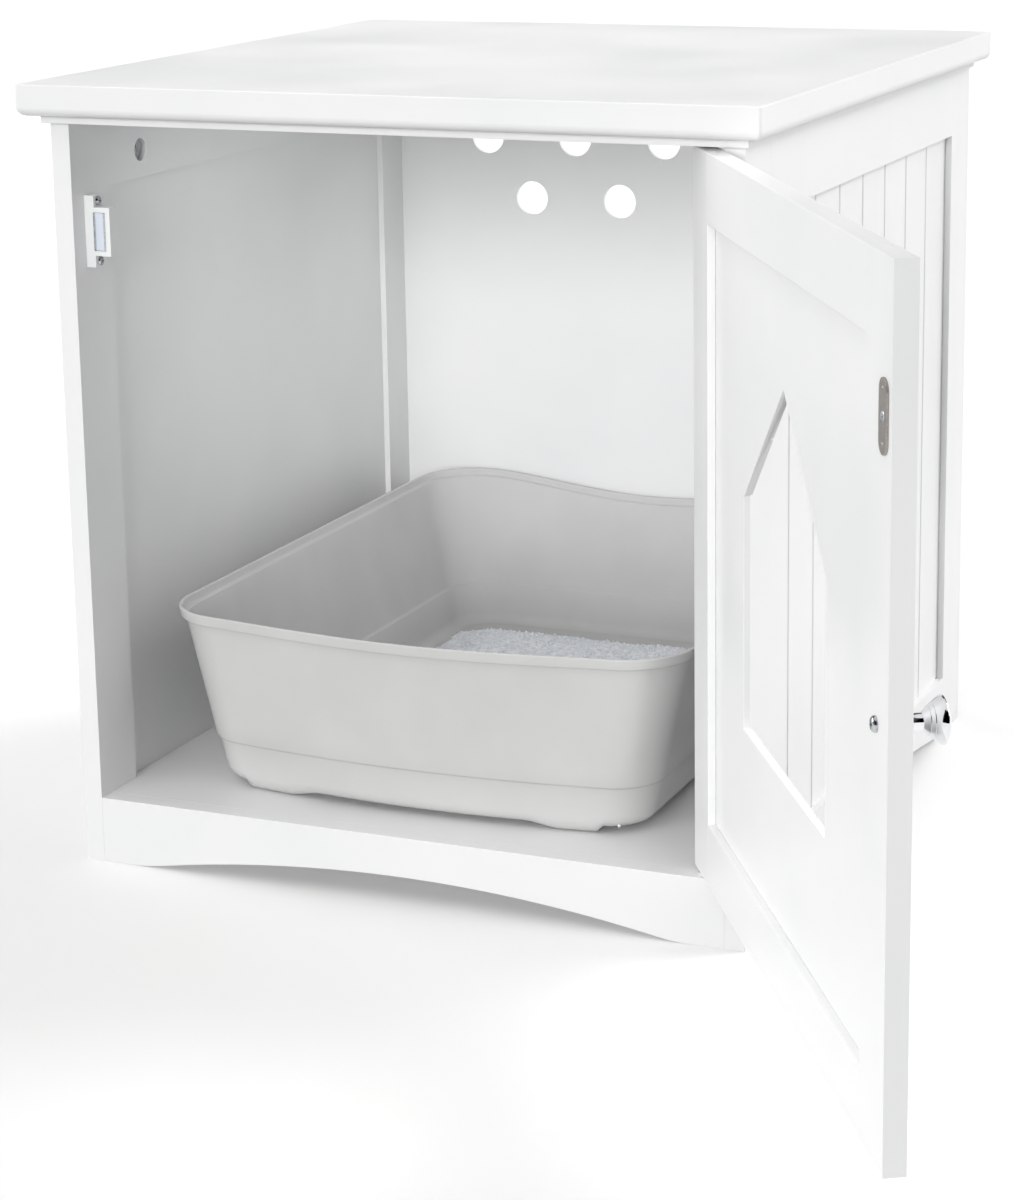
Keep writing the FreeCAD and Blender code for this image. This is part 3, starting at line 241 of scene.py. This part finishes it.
def platedMetal(name):
    dark, light, roughLow, roughHigh, grain, depth = metals[name]
    material, tree, spot = newMaterial(name)
    speck = addNode(tree, "TexNoise", {"Vector": spot, "Scale": grain, "Detail": 4.0}).outputs["Fac"]
    colour = addNode(tree, "ValToRGB", {"Fac": speck}, [(0.3, dark), (0.7, light)]).outputs["Color"]
    rough = addNode(tree, "MapRange", {"Value": speck, "From Min": 0.3, "From Max": 0.7,
                                       "To Min": roughLow, "To Max": roughHigh}).outputs["Result"]
    bump = addNode(tree, "Bump", {"Height": speck, "Strength": 0.4, "Distance": depth})
    shader = addNode(tree, "BsdfPrincipled", {
        "Base Color": colour, "Metallic": 1.0, "Roughness": rough, "Normal": bump.outputs["Normal"]})
    addNode(tree, "OutputMaterial", {"Surface": shader.outputs["BSDF"]})
    return material


glossDrift = 0.04  # how far a moulding's roughness wanders each way

# name: dark, light, roughness, skin specks per metre, their depth in metres, IOR
plastics = {
    # turned nylon rod: milky and waxy
    "nylonRod": ("#DCDAD2", "#E8E6DF", 0.45, 900.0, 0.00005, 1.53),
    # injection-moulded acetal: clean white with a low gloss
    "mouldedAcetal": ("#E9EBEC", "#F2F3F3", 0.32, 1100.0, 0.00004, 1.48),
    # ferrite block in a bluish white coat: smooth, faintly mottled
    "coatedFerrite": ("#D3DBE9", "#DFE6F1", 0.32, 900.0, 0.00004, 1.50),
    # vacuum-formed polystyrene sheet: light grey, glossy where the sheet stretched
    "formedPolystyrene": ("#C8C8C7", "#CDCDCC", 0.22, 700.0, 0.00004, 1.55),
}


def mouldedPlastic(name):
    dark, light, rough, grain, depth, ior = plastics[name]
    material, tree, spot = newMaterial(name)
    drift = addNode(tree, "TexNoise", {"Vector": spot, "Scale": 18.0, "Detail": 2.0}).outputs["Fac"]
    colour = addNode(tree, "ValToRGB", {"Fac": drift}, [(0.3, dark), (0.7, light)]).outputs["Color"]
    gloss = addNode(tree, "MapRange", {"Value": drift, "From Min": 0.3, "From Max": 0.7,
                                       "To Min": rough - glossDrift,
                                       "To Max": rough + glossDrift}).outputs["Result"]
    skin = addNode(tree, "TexNoise", {"Vector": spot, "Scale": grain, "Detail": 2.0}).outputs["Fac"]
    bump = addNode(tree, "Bump", {"Height": skin, "Strength": 0.35, "Distance": depth})
    shader = addNode(tree, "BsdfPrincipled", {
        "Base Color": colour, "Roughness": gloss, "IOR": ior, "Normal": bump.outputs["Normal"]})
    addNode(tree, "OutputMaterial", {"Surface": shader.outputs["BSDF"]})
    return material


def beechWood():
    # fluted beech dowel: pale and dry, with close grain along the peg
    material, tree, spot = newMaterial("beechDowel")
    lay = addNode(tree, "Mapping", {"Vector": spot, "Scale": (900.0, 900.0, 60.0)}).outputs["Vector"]
    grain = addNode(tree, "TexNoise", {"Vector": lay, "Scale": 1.0, "Detail": 3.0}).outputs["Fac"]
    ramp = [(0.3, "#C79E6C"), (0.7, "#E2C397")]
    colour = addNode(tree, "ValToRGB", {"Fac": grain}, ramp).outputs["Color"]
    shader = addNode(tree, "BsdfPrincipled", {"Base Color": colour, "Roughness": 0.6})
    addNode(tree, "OutputMaterial", {"Surface": shader.outputs["BSDF"]})
    return material


def clayLitter():
    # crushed clay granules: chalky and matt, each a little lighter or darker than the next
    material, tree, spot = newMaterial("clayGranules")
    cells = addNode(tree, "TexVoronoi", {"Vector": spot, "Scale": 480.0}).outputs["Color"]  # about 2 mm
    shade = addNode(tree, "SeparateColor", {"Color": cells}).outputs["Red"]
    ramp = [(0.1, "#DDE1E7"), (0.9, "#F8F9FC")]
    colour = addNode(tree, "ValToRGB", {"Fac": shade}, ramp).outputs["Color"]
    grit = addNode(tree, "TexNoise", {"Vector": spot, "Scale": 2200.0, "Detail": 2.0}).outputs["Fac"]
    bump = addNode(tree, "Bump", {"Height": grit, "Strength": 0.5, "Distance": 0.0002})
    shader = addNode(tree, "BsdfPrincipled", {
        "Base Color": colour, "Roughness": 0.85, "Normal": bump.outputs["Normal"]})
    addNode(tree, "OutputMaterial", {"Surface": shader.outputs["BSDF"]})
    return material


finishes = {
    "white_paint": sprayedPaint(),
    "zinc_cam": platedMetal("diecastZinc"),
    "steel": platedMetal("zincPlatedSteel"),
    "strike_steel": platedMetal("nickelledSteel"),
    "beech": beechWood(),
    "nylon": mouldedPlastic("nylonRod"),
    "catch_plastic": mouldedPlastic("mouldedAcetal"),
    "magnet": mouldedPlastic("coatedFerrite"),
    "chrome": platedMetal("chromePlate"),
    "tray_plastic": mouldedPlastic("formedPolystyrene"),
    "litter": clayLitter(),
}
print("materials ready")


# dressing the CAD nodes

slotOf = {
    "zinc_cam": ["cam_locks"],
    "steel": ["cam_bolts", "cleat_screws", "floor_screws", "top_screws", "bottom_pivot_pin",
              "top_pivot_pin", "catch_blades", "catch_screws", "knob_screw", "strike_screw"],
    "strike_steel": ["strike_plate"],
    "beech": ["wood_dowels"],
    "nylon": ["door_pivot_bushes", "pivot_washer"],
    "catch_plastic": ["catch_housing"],
    "magnet": ["catch_magnet"],
    "chrome": ["door_knob"],
    "tray_plastic": ["litter_tray"],
    "litter": ["litter_bed"],
}
nodeSlot = {node: "white_paint" for node in cadNodes}
nodeSlot.update({node: slot for slot, nodes in slotOf.items() for node in nodes})

for node, item in cadNodes.items():
    for index in range(len(item.data.materials)):
        item.data.materials[index] = finishes[nodeSlot[node]]
    if not item.data.materials:
        item.data.materials.append(finishes[nodeSlot[node]])


def place(name, bm, slot, body, replaced=()):
    mesh = bpy.data.meshes.new(name)
    bm.to_mesh(mesh)
    bm.free()
    mesh.materials.append(finishes[slot])
    item = bpy.data.objects.new(name, mesh)
    scene.collection.objects.link(item)
    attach(item, body)
    if replaced:
        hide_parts(*replaced)
    return item


def newVerts(geometry):
    return [item for item in geometry if isinstance(item, bmesh.types.BMVert)]


def joinInto(bm, part, matrix):
    # a shape made apart, put in its place and added to the piece
    bmesh.ops.transform(part, matrix=matrix, verts=part.verts)
    mesh = bpy.data.meshes.new("part")
    part.to_mesh(mesh)
    part.free()
    bm.from_mesh(mesh)
    bpy.data.meshes.remove(mesh)


# radius in millimetres of each board's and fitting's softened edges
arris = {
    "top_board": 0.6, "sub_top": 0.8,
    "right_front_stile": 0.8, "right_rear_stile": 0.8, "right_top_rail": 0.8, "right_bottom_rail": 0.8,
    "left_front_stile": 0.8, "left_rear_stile": 0.8, "left_top_rail": 0.8, "left_bottom_rail": 0.8,
    "right_panel": 0.3, "left_panel": 0.3, "front_apron": 0.7, "rear_apron": 0.7,
    "floor_board": 0.4, "right_floor_cleat": 0.4, "left_floor_cleat": 0.4, "back_panel": 0.3,
    "door_hinge_stile": 0.6, "door_latch_stile": 0.6, "door_bottom_rail": 0.6, "door_top_rail": 0.6,
    "door_panel": 0.4, "catch_housing": 0.5, "catch_blades": 0.2, "strike_plate": 0.25,
}


soften = {"weld": 1e-6, "flat": 0.3, "edge": 32, "crease": 40, "weight": 60}  # metres; degrees


def softenNode(node, radius):
    # a merged copy of the node with its outer edges rounded over
    source = cadNodes[node]
    bm = bmesh.new()
    bm.from_mesh(source.data)
    bmesh.ops.remove_doubles(bm, verts=bm.verts, dist=soften["weld"])
    bmesh.ops.dissolve_limit(bm, angle_limit=math.radians(soften["flat"]), verts=bm.verts, edges=bm.edges)
    outer = [edge for edge in bm.edges if len(edge.link_faces) == 2
             and edge.is_convex and edge.calc_face_angle() > math.radians(soften["edge"])]
    bmesh.ops.bevel(bm, geom=outer, offset=radius / 1000, offset_type="OFFSET", segments=2,
                    profile=0.5, affect="EDGES", clamp_overlap=True, material=-1)
    for face in bm.faces:
        face.smooth = True
    item = place(node + "_softened", bm, nodeSlot[node], source["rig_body"], (node,))
    even = item.modifiers.new("evenShading", "WEIGHTED_NORMAL")
    even.weight = soften["weight"]
    item.data.set_sharp_from_angle(angle=math.radians(soften["crease"]))
    even.keep_sharp = True
    return item


for node, radius in arris.items():
    softenNode(node, radius)
print("boards softened")

# litter tray: one thin formed shell, its rim stepped out, dipping at the back and front

tray = {  # millimetres
    "middle": -6.7, "half": 180.0, "front": -229.5, "back": 234.0, "floor": 44.0,
    "height": 123.5, "corner": 44.3, "cornerShrink": 0.53, "bow": 15.0,
    "sideTaper": 0.215, "endTaper": 0.128, "wall": 2.0,
    "rimStep": 2.5, "rimHeight": 7.5, "lowStep": 1.5, "lowHeight": 33.5,
    "baseRound": 9.0, "foot": 4.0, "footPlace": 0.05, "footReach": 0.16, "footFlat": 1.6,
    "frontDip": 2.2, "backDip": 12.0, "dipEase": 1.5, "dipStart": 6.0,
    # rows of the skin: (inset, share of the foot's drop), then (rise, share of the step)
    "footRows": ((34.0, 0.0), (24.0, 0.1), (20.0, 0.9), (14.0, 1.0)),
    "lowLead": (10.0, 1.0), "lowRows": ((-0.3, 0.12), (0.2, 0.5), (0.7, 0.88), (1.4, 1.0)),
    "wallRows": 9, "rimLead": 1.2, "lipLead": 1.6,
    "rimRows": ((-0.4, 0.04), (-0.15, 0.15), (0.15, 0.85), (0.4, 0.97), (1.0, 1.0)),
    "around": 264, "crease": 50,
}
# the outline's stretches, counterclockwise, and each one's share of the stations
traySides = ("front", "frontRight", "right", "backRight", "back", "backLeft", "left", "frontLeft")
trayShares = (0.20, 0.09, 0.13, 0.09, 0.18, 0.09, 0.13, 0.09)


def traySide(turn):
    # which stretch of the outline a station lies on, and how far along it
    start = 0.0
    for side, share in zip(traySides, trayShares):
        if turn < start + share or side == "frontLeft":
            return side, (turn - start) / share
        start += share


def trayPoint(turn, sideInset, endInset):
    # the outline in plan, counterclockwise from the front left, drawn in from the rim
    half = tray["half"] - sideInset
    front = tray["front"] + endInset
    back = tray["back"] - endInset
    corner = tray["corner"] - tray["cornerShrink"] * sideInset
    bowRadius = (half ** 2 + tray["bow"] ** 2) / (2 * tray["bow"])
    bowMiddle = front + bowRadius
    reach = bowRadius - corner
    cornerX = half - corner
    cornerY = bowMiddle - math.sqrt(reach ** 2 - cornerX ** 2)
    swing = math.asin(cornerX / reach)
    side, along = traySide(turn)
    left = "Left" in side or side == "left"
    if side == "front":
        angle = swing * (2 * along - 1)
        return bowRadius * math.sin(angle), bowMiddle - bowRadius * math.cos(angle)
    if left:
        along = 1 - along
    if side in ("right", "left"):
        point = (half, cornerY + (back - corner - cornerY) * along)
    elif side == "back":
        point = (cornerX * (1 - 2 * along), back)
    elif side in ("frontRight", "frontLeft"):
        angle = swing - math.pi / 2 + (math.pi / 2 - swing) * along
        point = (cornerX + corner * math.cos(angle), cornerY + corner * math.sin(angle))
    else:
        angle = math.pi / 2 * along
        point = (cornerX + corner * math.cos(angle), back - corner + corner * math.sin(angle))
    return (-point[0], point[1]) if left else point


def rimDip(turn):
    # the rim stands highest at its corners
    side, along = traySide(turn)
    if side not in ("front", "back"):
        return 0.0
    return tray[side + "Dip"] * math.sin(math.pi * along) ** tray["dipEase"]


def footShare(turn):
    # 1 on the four feet near the ends of the front and back, 0 elsewhere
    side, along = traySide(turn)
    if side not in ("front", "back"):
        return 0.0
    away = abs(min(along, 1 - along) - tray["footPlace"]) / tray["footReach"]
    share = min(max(tray["footFlat"] * (1 - away), 0.0), 1.0)
    return share * share * (3 - 2 * share)


def trayRows():
    # (side inset, end inset, level, share of the foot's drop) from the underside, up the outer skin,
    # over the lip and down inside
    t = tray
    rows = []

    def row(level, wall, more=0.0, steps=0.0, drop=0.0):
        below = t["height"] - level
        rows.append((t["sideTaper"] * below + wall + steps + more,
                     t["endTaper"] * below + wall + steps + more, level, drop))

    def skin(wall):
        both = t["rimStep"] + t["lowStep"]
        low = t["lowHeight"] + wall
        rim = t["height"] - t["rimHeight"] + wall
        radius = t["baseRound"] - wall
        base = t["foot"] + wall
        if not wall:
            for inset, drop in t["footRows"]:
                row(base, wall, radius + inset, both, drop)
        for angle in range(0, 91, 10):
            a = math.radians(angle)
            row(base + radius * (1 - math.cos(a)), wall, radius * (1 - math.sin(a)), both,
                0.0 if wall else math.cos(a) ** 0.5)
        for below in t["lowLead"]:
            row(low - below, wall, 0.0, both)
        for rise, share in t["lowRows"]:
            row(low + rise, wall, 0.0, both - t["lowStep"] * share)
        wallLow = low + t["lowRows"][-1][0]
        wallHigh = rim - t["rimLead"]
        for share in range(1, t["wallRows"] + 1):
            row(wallLow + (wallHigh - wallLow) * share / t["wallRows"], wall, 0.0, t["rimStep"])
        for rise, share in t["rimRows"]:
            row(rim + rise, wall, 0.0, t["rimStep"] * (1 - share))
        row(t["height"] - t["lipLead"], wall)

    skin(0.0)
    lip = t["wall"] / 2
    for angle in range(0, 181, 30):
        a = math.radians(angle)
        row(t["height"] - lip + lip * math.sin(a), lip * (1 - math.cos(a)))
    outer = len(rows)
    skin(t["wall"])
    rows[outer:] = rows[outer:][::-1]
    return rows


def placeRing(verts, station, sideInset, endInset, level, drop):
    t = tray
    rimLow = t["height"] - t["rimHeight"]
    dipLow = t["lowHeight"] + t["dipStart"]
    rise = min(max((level - dipLow) / (rimLow - dipLow), 0.0), 1.0)
    for vert in verts:
        x, y = trayPoint(vert[station], sideInset, endInset)
        fall = rimDip(vert[station]) * rise + t["foot"] * drop * footShare(vert[station])
        z = t["floor"] + level - fall
        vert.co = Vector((x + t["middle"], y, z)) / 1000


def makeTray():
    t = tray
    bm = bmesh.new()
    station = bm.verts.layers.float.new("station")
    rows = trayRows()
    ring = bmesh.ops.create_circle(bm, cap_ends=False, segments=t["around"], radius=1.0)["verts"]
    for index, vert in enumerate(ring):
        vert[station] = index / t["around"]
    placeRing(ring, station, *rows[0])
    bmesh.ops.contextual_create(bm, geom=list(bm.edges))
    edges = list(bm.edges)
    for row in rows[1:]:
        grown = bmesh.ops.extrude_edge_only(bm, edges=edges)["geom"]
        ring = newVerts(grown)
        fresh = set(ring)
        edges = [item for item in grown if isinstance(item, bmesh.types.BMEdge)
                 and item.verts[0] in fresh and item.verts[1] in fresh]
        placeRing(ring, station, *row)
    bmesh.ops.contextual_create(bm, geom=edges)
    bmesh.ops.recalc_face_normals(bm, faces=bm.faces)
    for face in bm.faces:
        face.smooth = True
    item = place("formed_litter_tray", bm, "tray_plastic", "tray", ("litter_tray",))
    item.data.set_sharp_from_angle(angle=math.radians(t["crease"]))
    return item


makeTray()
print("tray made")


# litter: a shallow heap of clay granules that thins out towards the walls

litter = {  # millimetres
    "low": (-146.0, -196.0), "high": (133.0, 188.0), "corner": 30.0,
    "floor": 50.1, "depth": 10.0, "slope": 60.0, "step": 1.9,
    "edgeWander": (5.0, 38.0), "swell": (0.30, 60.0),  # each: how much, over what distance
    "cellGrit": (0.35, 2.4), "softGrit": (0.4, 4.5), "gritRise": 6.0, "lift": 0.4,
    "grains": 4400, "grain": (0.8, 1.5), "stray": 14.0, "batch": 80, "seed": 7,
    "spin": 6.28, "breadth": (0.6, 1.0), "thickness": (0.55, 0.9), "perch": 0.5,  # radians; shares
}


def heapHeight(x, y):
    # height over the tray's floor at a place, in millimetres, or below 0 past the heap's edge
    t = litter
    across = abs(x - (t["low"][0] + t["high"][0]) / 2) - (t["high"][0] - t["low"][0]) / 2 + t["corner"]
    along = abs(y - (t["low"][1] + t["high"][1]) / 2) - (t["high"][1] - t["low"][1]) / 2 + t["corner"]
    inside = t["corner"] - math.hypot(max(across, 0), max(along, 0)) - min(max(across, along), 0)
    wander, wanderSpan = t["edgeWander"]
    swell, swellSpan = t["swell"]
    cell, cellSpan = t["cellGrit"]
    soft, softSpan = t["softGrit"]
    inside += wander * noise.noise(Vector((x, y, 3.0)) / wanderSpan)
    share = min(max(inside / t["slope"], 0.0), 1.0)
    body = t["depth"] * math.sin(share * math.pi / 2)
    body *= 1 + swell * noise.noise(Vector((x, y, 0)) / swellSpan)
    grit = cell * noise.cell(Vector((x, y, 1)) / cellSpan)
    grit += soft * noise.noise(Vector((x, y, 5)) / softSpan)
    return inside, body + grit * min(share * t["gritRise"], 1.0)


def makeLitter():
    t = litter
    bm = bmesh.new()
    width = t["high"][0] - t["low"][0]
    length = t["high"][1] - t["low"][1]
    bmesh.ops.create_grid(bm, size=0.5, x_segments=int(width / t["step"]),
                          y_segments=int(length / t["step"]))
    bmesh.ops.scale(bm, vec=(width, length, 1), verts=bm.verts)
    bmesh.ops.translate(bm, verts=bm.verts, vec=((t["low"][0] + t["high"][0]) / 2,
                                                 (t["low"][1] + t["high"][1]) / 2, 0))
    outside = []
    for vert in bm.verts:
        inside, rise = heapHeight(vert.co.x, vert.co.y)
        vert.co.z = t["floor"] + max(rise, 0.0) + t["lift"]
        if inside < 0:
            outside.append(vert)
    bmesh.ops.delete(bm, geom=outside, context="VERTS")
    rim = [edge for edge in bm.edges if edge.is_boundary]
    for vert in newVerts(bmesh.ops.extrude_edge_only(bm, edges=rim)["geom"]):
        vert.co.z = t["floor"]
    bmesh.ops.contextual_create(bm, geom=[edge for edge in bm.edges if edge.is_boundary])
    bmesh.ops.recalc_face_normals(bm, faces=bm.faces)
    scatter = random.Random(t["seed"])
    batch = bmesh.new()
    placed = 0
    while placed < t["grains"]:
        x = scatter.uniform(t["low"][0], t["high"][0])
        y = scatter.uniform(t["low"][1], t["high"][1])
        inside, rise = heapHeight(x, y)
        # fewer grains towards the heap's edge and past it
        if scatter.random() > (inside + t["stray"]) / (2 * t["stray"]):
            continue
        radius = scatter.uniform(*t["grain"])
        spot = Vector((x, y, t["floor"] + max(rise, 0.0) + t["perch"] * radius))
        spin = scatter.uniform(0, t["spin"])
        turn = Matrix.Rotation(spin, 4, Vector((scatter.random(), scatter.random(), 1)))
        breadth = scatter.uniform(*t["breadth"])
        shape = Matrix.Diagonal((1.0, breadth, scatter.uniform(*t["thickness"]), 1.0))
        bmesh.ops.create_icosphere(batch, subdivisions=1, radius=radius,
                                   matrix=Matrix.Translation(spot) @ turn @ shape)
        placed += 1
        if placed % t["batch"] == 0:  # small batches keep the operator quick
            joinInto(bm, batch, Matrix.Identity(4))
            batch = bmesh.new()
    batch.free()
    bmesh.ops.scale(bm, vec=(0.001, 0.001, 0.001), verts=bm.verts)
    return place("clay_granule_heap", bm, "litter", "tray", ("litter_bed",))


makeLitter()
print("litter made")


# turned and pressed fittings

hinge = next(joint for joint in frame["joints"] if joint["name"] == "door_hinge")
pivot = Matrix.Translation(Vector(hinge["pos_m"]))
openTurn = pivot @ Matrix.Rotation(-math.radians(hinge["range_deg"][0]), 4, "Z") @ pivot.inverted()


def facing(spot, axis, body="cabinet"):
    # from a fitting drawn along +Z at the origin to its place, in millimetres, on the closed cabinet
    turn = Vector(axis).to_track_quat("Z", "Y").to_matrix().to_4x4()
    there = Matrix.Translation(Vector(spot) / 1000) @ turn @ Matrix.Scale(0.001, 4)
    return openTurn @ there if body == "door" else there


def turned(profile, segments=64):
    # spins (radius, height) points about +Z
    bm = bmesh.new()
    chain = [bm.verts.new((radius, 0, height)) for radius, height in profile]
    edges = [bm.edges.new(pair) for pair in zip(chain, chain[1:])]
    bmesh.ops.spin(bm, geom=chain + edges, cent=(0, 0, 0), axis=(0, 0, 1), angle=2 * math.pi,
                   steps=segments, use_merge=True)
    bmesh.ops.remove_doubles(bm, verts=bm.verts, dist=1e-4)
    bmesh.ops.recalc_face_normals(bm, faces=bm.faces)
    return bm


crossTaper = 0.6


def crossedHead(profile, arm, half, depth, segments=32):
    # a turned head and shank with a cross recess sunk in its top, narrower at the bottom
    bm = bmesh.new()
    top = profile[0][1]
    corners = [Matrix.Rotation(math.pi / 2 * quarter, 3, "Z") @ Vector((x, y, top))
               for quarter in range(4) for x, y in ((arm, -half), (arm, half), (half, half))]
    mouth = [bm.verts.new(corner) for corner in corners]
    mouthEdges = [bm.edges.new(pair) for pair in zip(mouth, mouth[1:] + mouth[:1])]
    ring = bmesh.ops.create_circle(bm, cap_ends=False, segments=segments, radius=profile[0][0])["verts"]
    bmesh.ops.translate(bm, verts=ring, vec=(0, 0, top))
    ringEdges = [edge for edge in bm.edges if edge.verts[0] in ring and edge.verts[1] in ring]
    bmesh.ops.bridge_loops(bm, edges=mouthEdges + ringEdges)
    well = newVerts(bmesh.ops.extrude_edge_only(bm, edges=mouthEdges)["geom"])
    bmesh.ops.translate(bm, verts=well, vec=(0, 0, -depth))
    bmesh.ops.scale(bm, verts=well, vec=(crossTaper, crossTaper, 1))
    bmesh.ops.contextual_create(bm, geom=[edge for edge in bm.edges
                                          if edge.verts[0] in well and edge.verts[1] in well])
    for radius, height in profile[1:]:
        ring = newVerts(bmesh.ops.extrude_edge_only(bm, edges=ringEdges)["geom"])
        for vert in ring:
            flat = vert.co.xy.normalized() * radius
            vert.co = (flat.x, flat.y, height)
        ringEdges = [edge for edge in bm.edges if edge.verts[0] in ring and edge.verts[1] in ring]
    bmesh.ops.contextual_create(bm, geom=ringEdges)
    bmesh.ops.recalc_face_normals(bm, faces=bm.faces)
    return bm


roundCrease = 60  # degrees; for fittings with no edge as sharp as a screw's


def shaded(item, angle=40):
    # smooth faces that break at real edges
    item.data.shade_smooth()
    item.data.set_sharp_from_angle(angle=math.radians(angle))
    return item


knob = {  # millimetres; radius and distance out from the door's face
    "spot": (-194.0, -247.0, 265.5), "axis": (0, -1, 0), "around": 96,
    "profile": [
        (0, 0), (5.7, 0), (6.0, 0.3), (6.0, 1.1), (5.7, 1.4), (4.6, 1.6), (4.1, 2.0), (4.1, 9.6),
        (4.3, 10.2), (4.9, 10.8), (6.0, 11.8), (6.9, 12.5), (7.15, 12.7), (6.95, 12.95),
        (7.3, 13.3), (8.0, 14.0), (8.4, 14.4), (8.65, 14.6), (8.45, 14.85), (8.75, 15.1),
        (9.5, 15.9), (10.4, 16.9), (11.2, 18.1), (11.7, 19.1), (11.85, 19.7), (11.85, 20.1),
        (11.65, 20.3), (11.45, 20.45), (10.8, 20.85), (9.4, 21.6), (7.4, 22.3), (5.0, 22.85),
        (2.6, 23.1), (1.0, 23.18), (0, 23.2),
    ],
}


def makeKnob():
    bm = bmesh.new()
    joinInto(bm, turned(knob["profile"], knob["around"]), facing(knob["spot"], knob["axis"], "door"))
    return shaded(place("turned_door_knob", bm, "chrome", "door", ("door_knob",)), roundCrease)


makeKnob()
print("knob made")

panHead = [(0.62, 1.0), (0.82, 0.86), (0.95, 0.55), (1.0, 0.2), (1.0, 0.0)]  # shares of radius and rise
flatHead = [(0.7, -0.05), (0.97, -0.05), (1.0, -0.12)]  # share of radius, millimetres
recess = {"arm": 0.52, "half": 0.13, "depth": 0.7, "rise": 0.9, "spare": 0.4}  # shares; millimetres
screws = {  # millimetres; a pan head stands proud of its face, a flat head is sunk level with it
    "cleat_screws": {"head": "flat", "radius": 3.4, "rise": 2.0, "shank": 1.5, "length": 27.0,
                     "spots": [((side * 199.0, y, 26.0), (-side, 0, 0))
                               for side in (1, -1) for y in (-130.0, 0.0, 130.0)]},
    "floor_screws": {"head": "flat", "radius": 3.4, "rise": 2.0, "shank": 1.5, "length": 20.0,
                     "spots": [((side * 208.0, y, 20.0), (0, 0, -1))
                               for side in (1, -1) for y in (-65.0, 65.0)]},
    "top_screws": {"head": "flat", "radius": 3.4, "rise": 2.0, "shank": 1.5, "length": 16.0,
                   "spots": [((side * 157.0, y, 489.0), (0, 0, -1))
                             for side in (1, -1) for y in (-187.0, 0.0, 187.0)]},
    "catch_screws": {"head": "pan", "radius": 3.0, "rise": 1.8, "shank": 1.2, "length": 14.8,
                     "spots": [((-210.2, -227.65, z), (1, 0, 0)) for z in (399.25, 437.75)]},
    "knob_screw": {"head": "pan", "radius": 4.2, "rise": 2.4, "shank": 2.0, "length": 21.0,
                   "body": "door", "spots": [((-194.0, -235.0, 265.5), (0, 1, 0))]},
    "strike_screw": {"head": "pan", "radius": 2.9, "rise": 0.3, "shank": 1.2, "length": 9.2,
                     "body": "door", "spots": [((-203.0, -233.8, 413.5), (0, 1, 0))]},
}


def makeScrews():
    for node, kind in screws.items():
        radius, rise, shank = kind["radius"], kind["rise"], kind["shank"]
        if kind["head"] == "pan":
            profile = [(out * radius, up * rise) for out, up in panHead] + [(shank, 0.0)]
        else:
            profile = [(out * radius, up) for out, up in flatHead] + [(shank, -rise)]
        profile.append((shank, -kind["length"]))
        body = kind.get("body", "cabinet")
        bm = bmesh.new()
        for spot, axis in kind["spots"]:
            depth = min(recess["depth"] * radius, recess["rise"] * rise + recess["spare"])
            part = crossedHead(profile, recess["arm"] * radius, recess["half"] * radius, depth)
            joinInto(bm, part, facing(spot, axis, body))
        shaded(place("crosshead_" + node, bm, "steel", body, (node,)))


makeScrews()

cams = {  # millimetres; the face lies inside its bore
    "spots": [((side * 217.0, y, 462.0), (-side, 0, 0)) for side in (1, -1) for y in (-160.0, 160.0)],
    "profile": [(5.6, -3.9), (5.9, -3.9), (6.1, -3.6), (6.9, -3.6), (7.15, -3.8), (7.15, -9.9)],
    "arm": 4.2, "half": 1.1, "depth": 3.0, "around": 48,
    "pointer": {"wide": 1.1, "narrow": 0.77, "thick": 0.35, "out": 5.0, "level": -3.8},
}


def makeCams():
    # turned cam locks: a raised ring, a cross for the driver and a pointer towards the bolt
    bm = bmesh.new()
    for spot, axis in cams["spots"]:
        there = facing(spot, axis)
        face = crossedHead(cams["profile"], cams["arm"], cams["half"], cams["depth"], cams["around"])
        joinInto(bm, face, there)
        mark = cams["pointer"]
        pointer = bmesh.new()
        bmesh.ops.create_cone(pointer, cap_ends=True, segments=3, radius1=mark["wide"],
                              radius2=mark["narrow"], depth=mark["thick"])
        up = there.to_3x3().inverted() @ Vector((0, 0, 1))
        up.normalize()
        shift = up * mark["out"] + Vector((0, 0, mark["level"]))
        joinInto(bm, pointer, there @ Matrix.Translation(shift))
    return shaded(place("turned_cam_locks", bm, "zinc_cam", "cabinet", ("cam_locks",)))


makeCams()

pips = {  # millimetres; the dome's profile is in shares of the radius and the rise
    "spots": [(-203.0, -233.8, 413.5 + up) for up in (-13.0, 13.0)],
    "radius": 1.3, "rise": 0.3, "root": -0.3, "around": 24,
    "dome": [(0, 1.0), (0.35, 0.9), (0.7, 0.55), (1.0, 0)],
}


def makePips():
    # two pips pressed through the strike plate from behind
    bm = bmesh.new()
    radius, rise, root = pips["radius"], pips["rise"], pips["root"]
    profile = [(out * radius, up * rise) for out, up in pips["dome"]] + [(radius, root), (0, root)]
    for spot in pips["spots"]:
        joinInto(bm, turned(profile, pips["around"]), facing(spot, (0, 1, 0), "door"))
    return shaded(place("strike_plate_pips", bm, "strike_steel", "door"), roundCrease)


makePips()
print("fittings made")
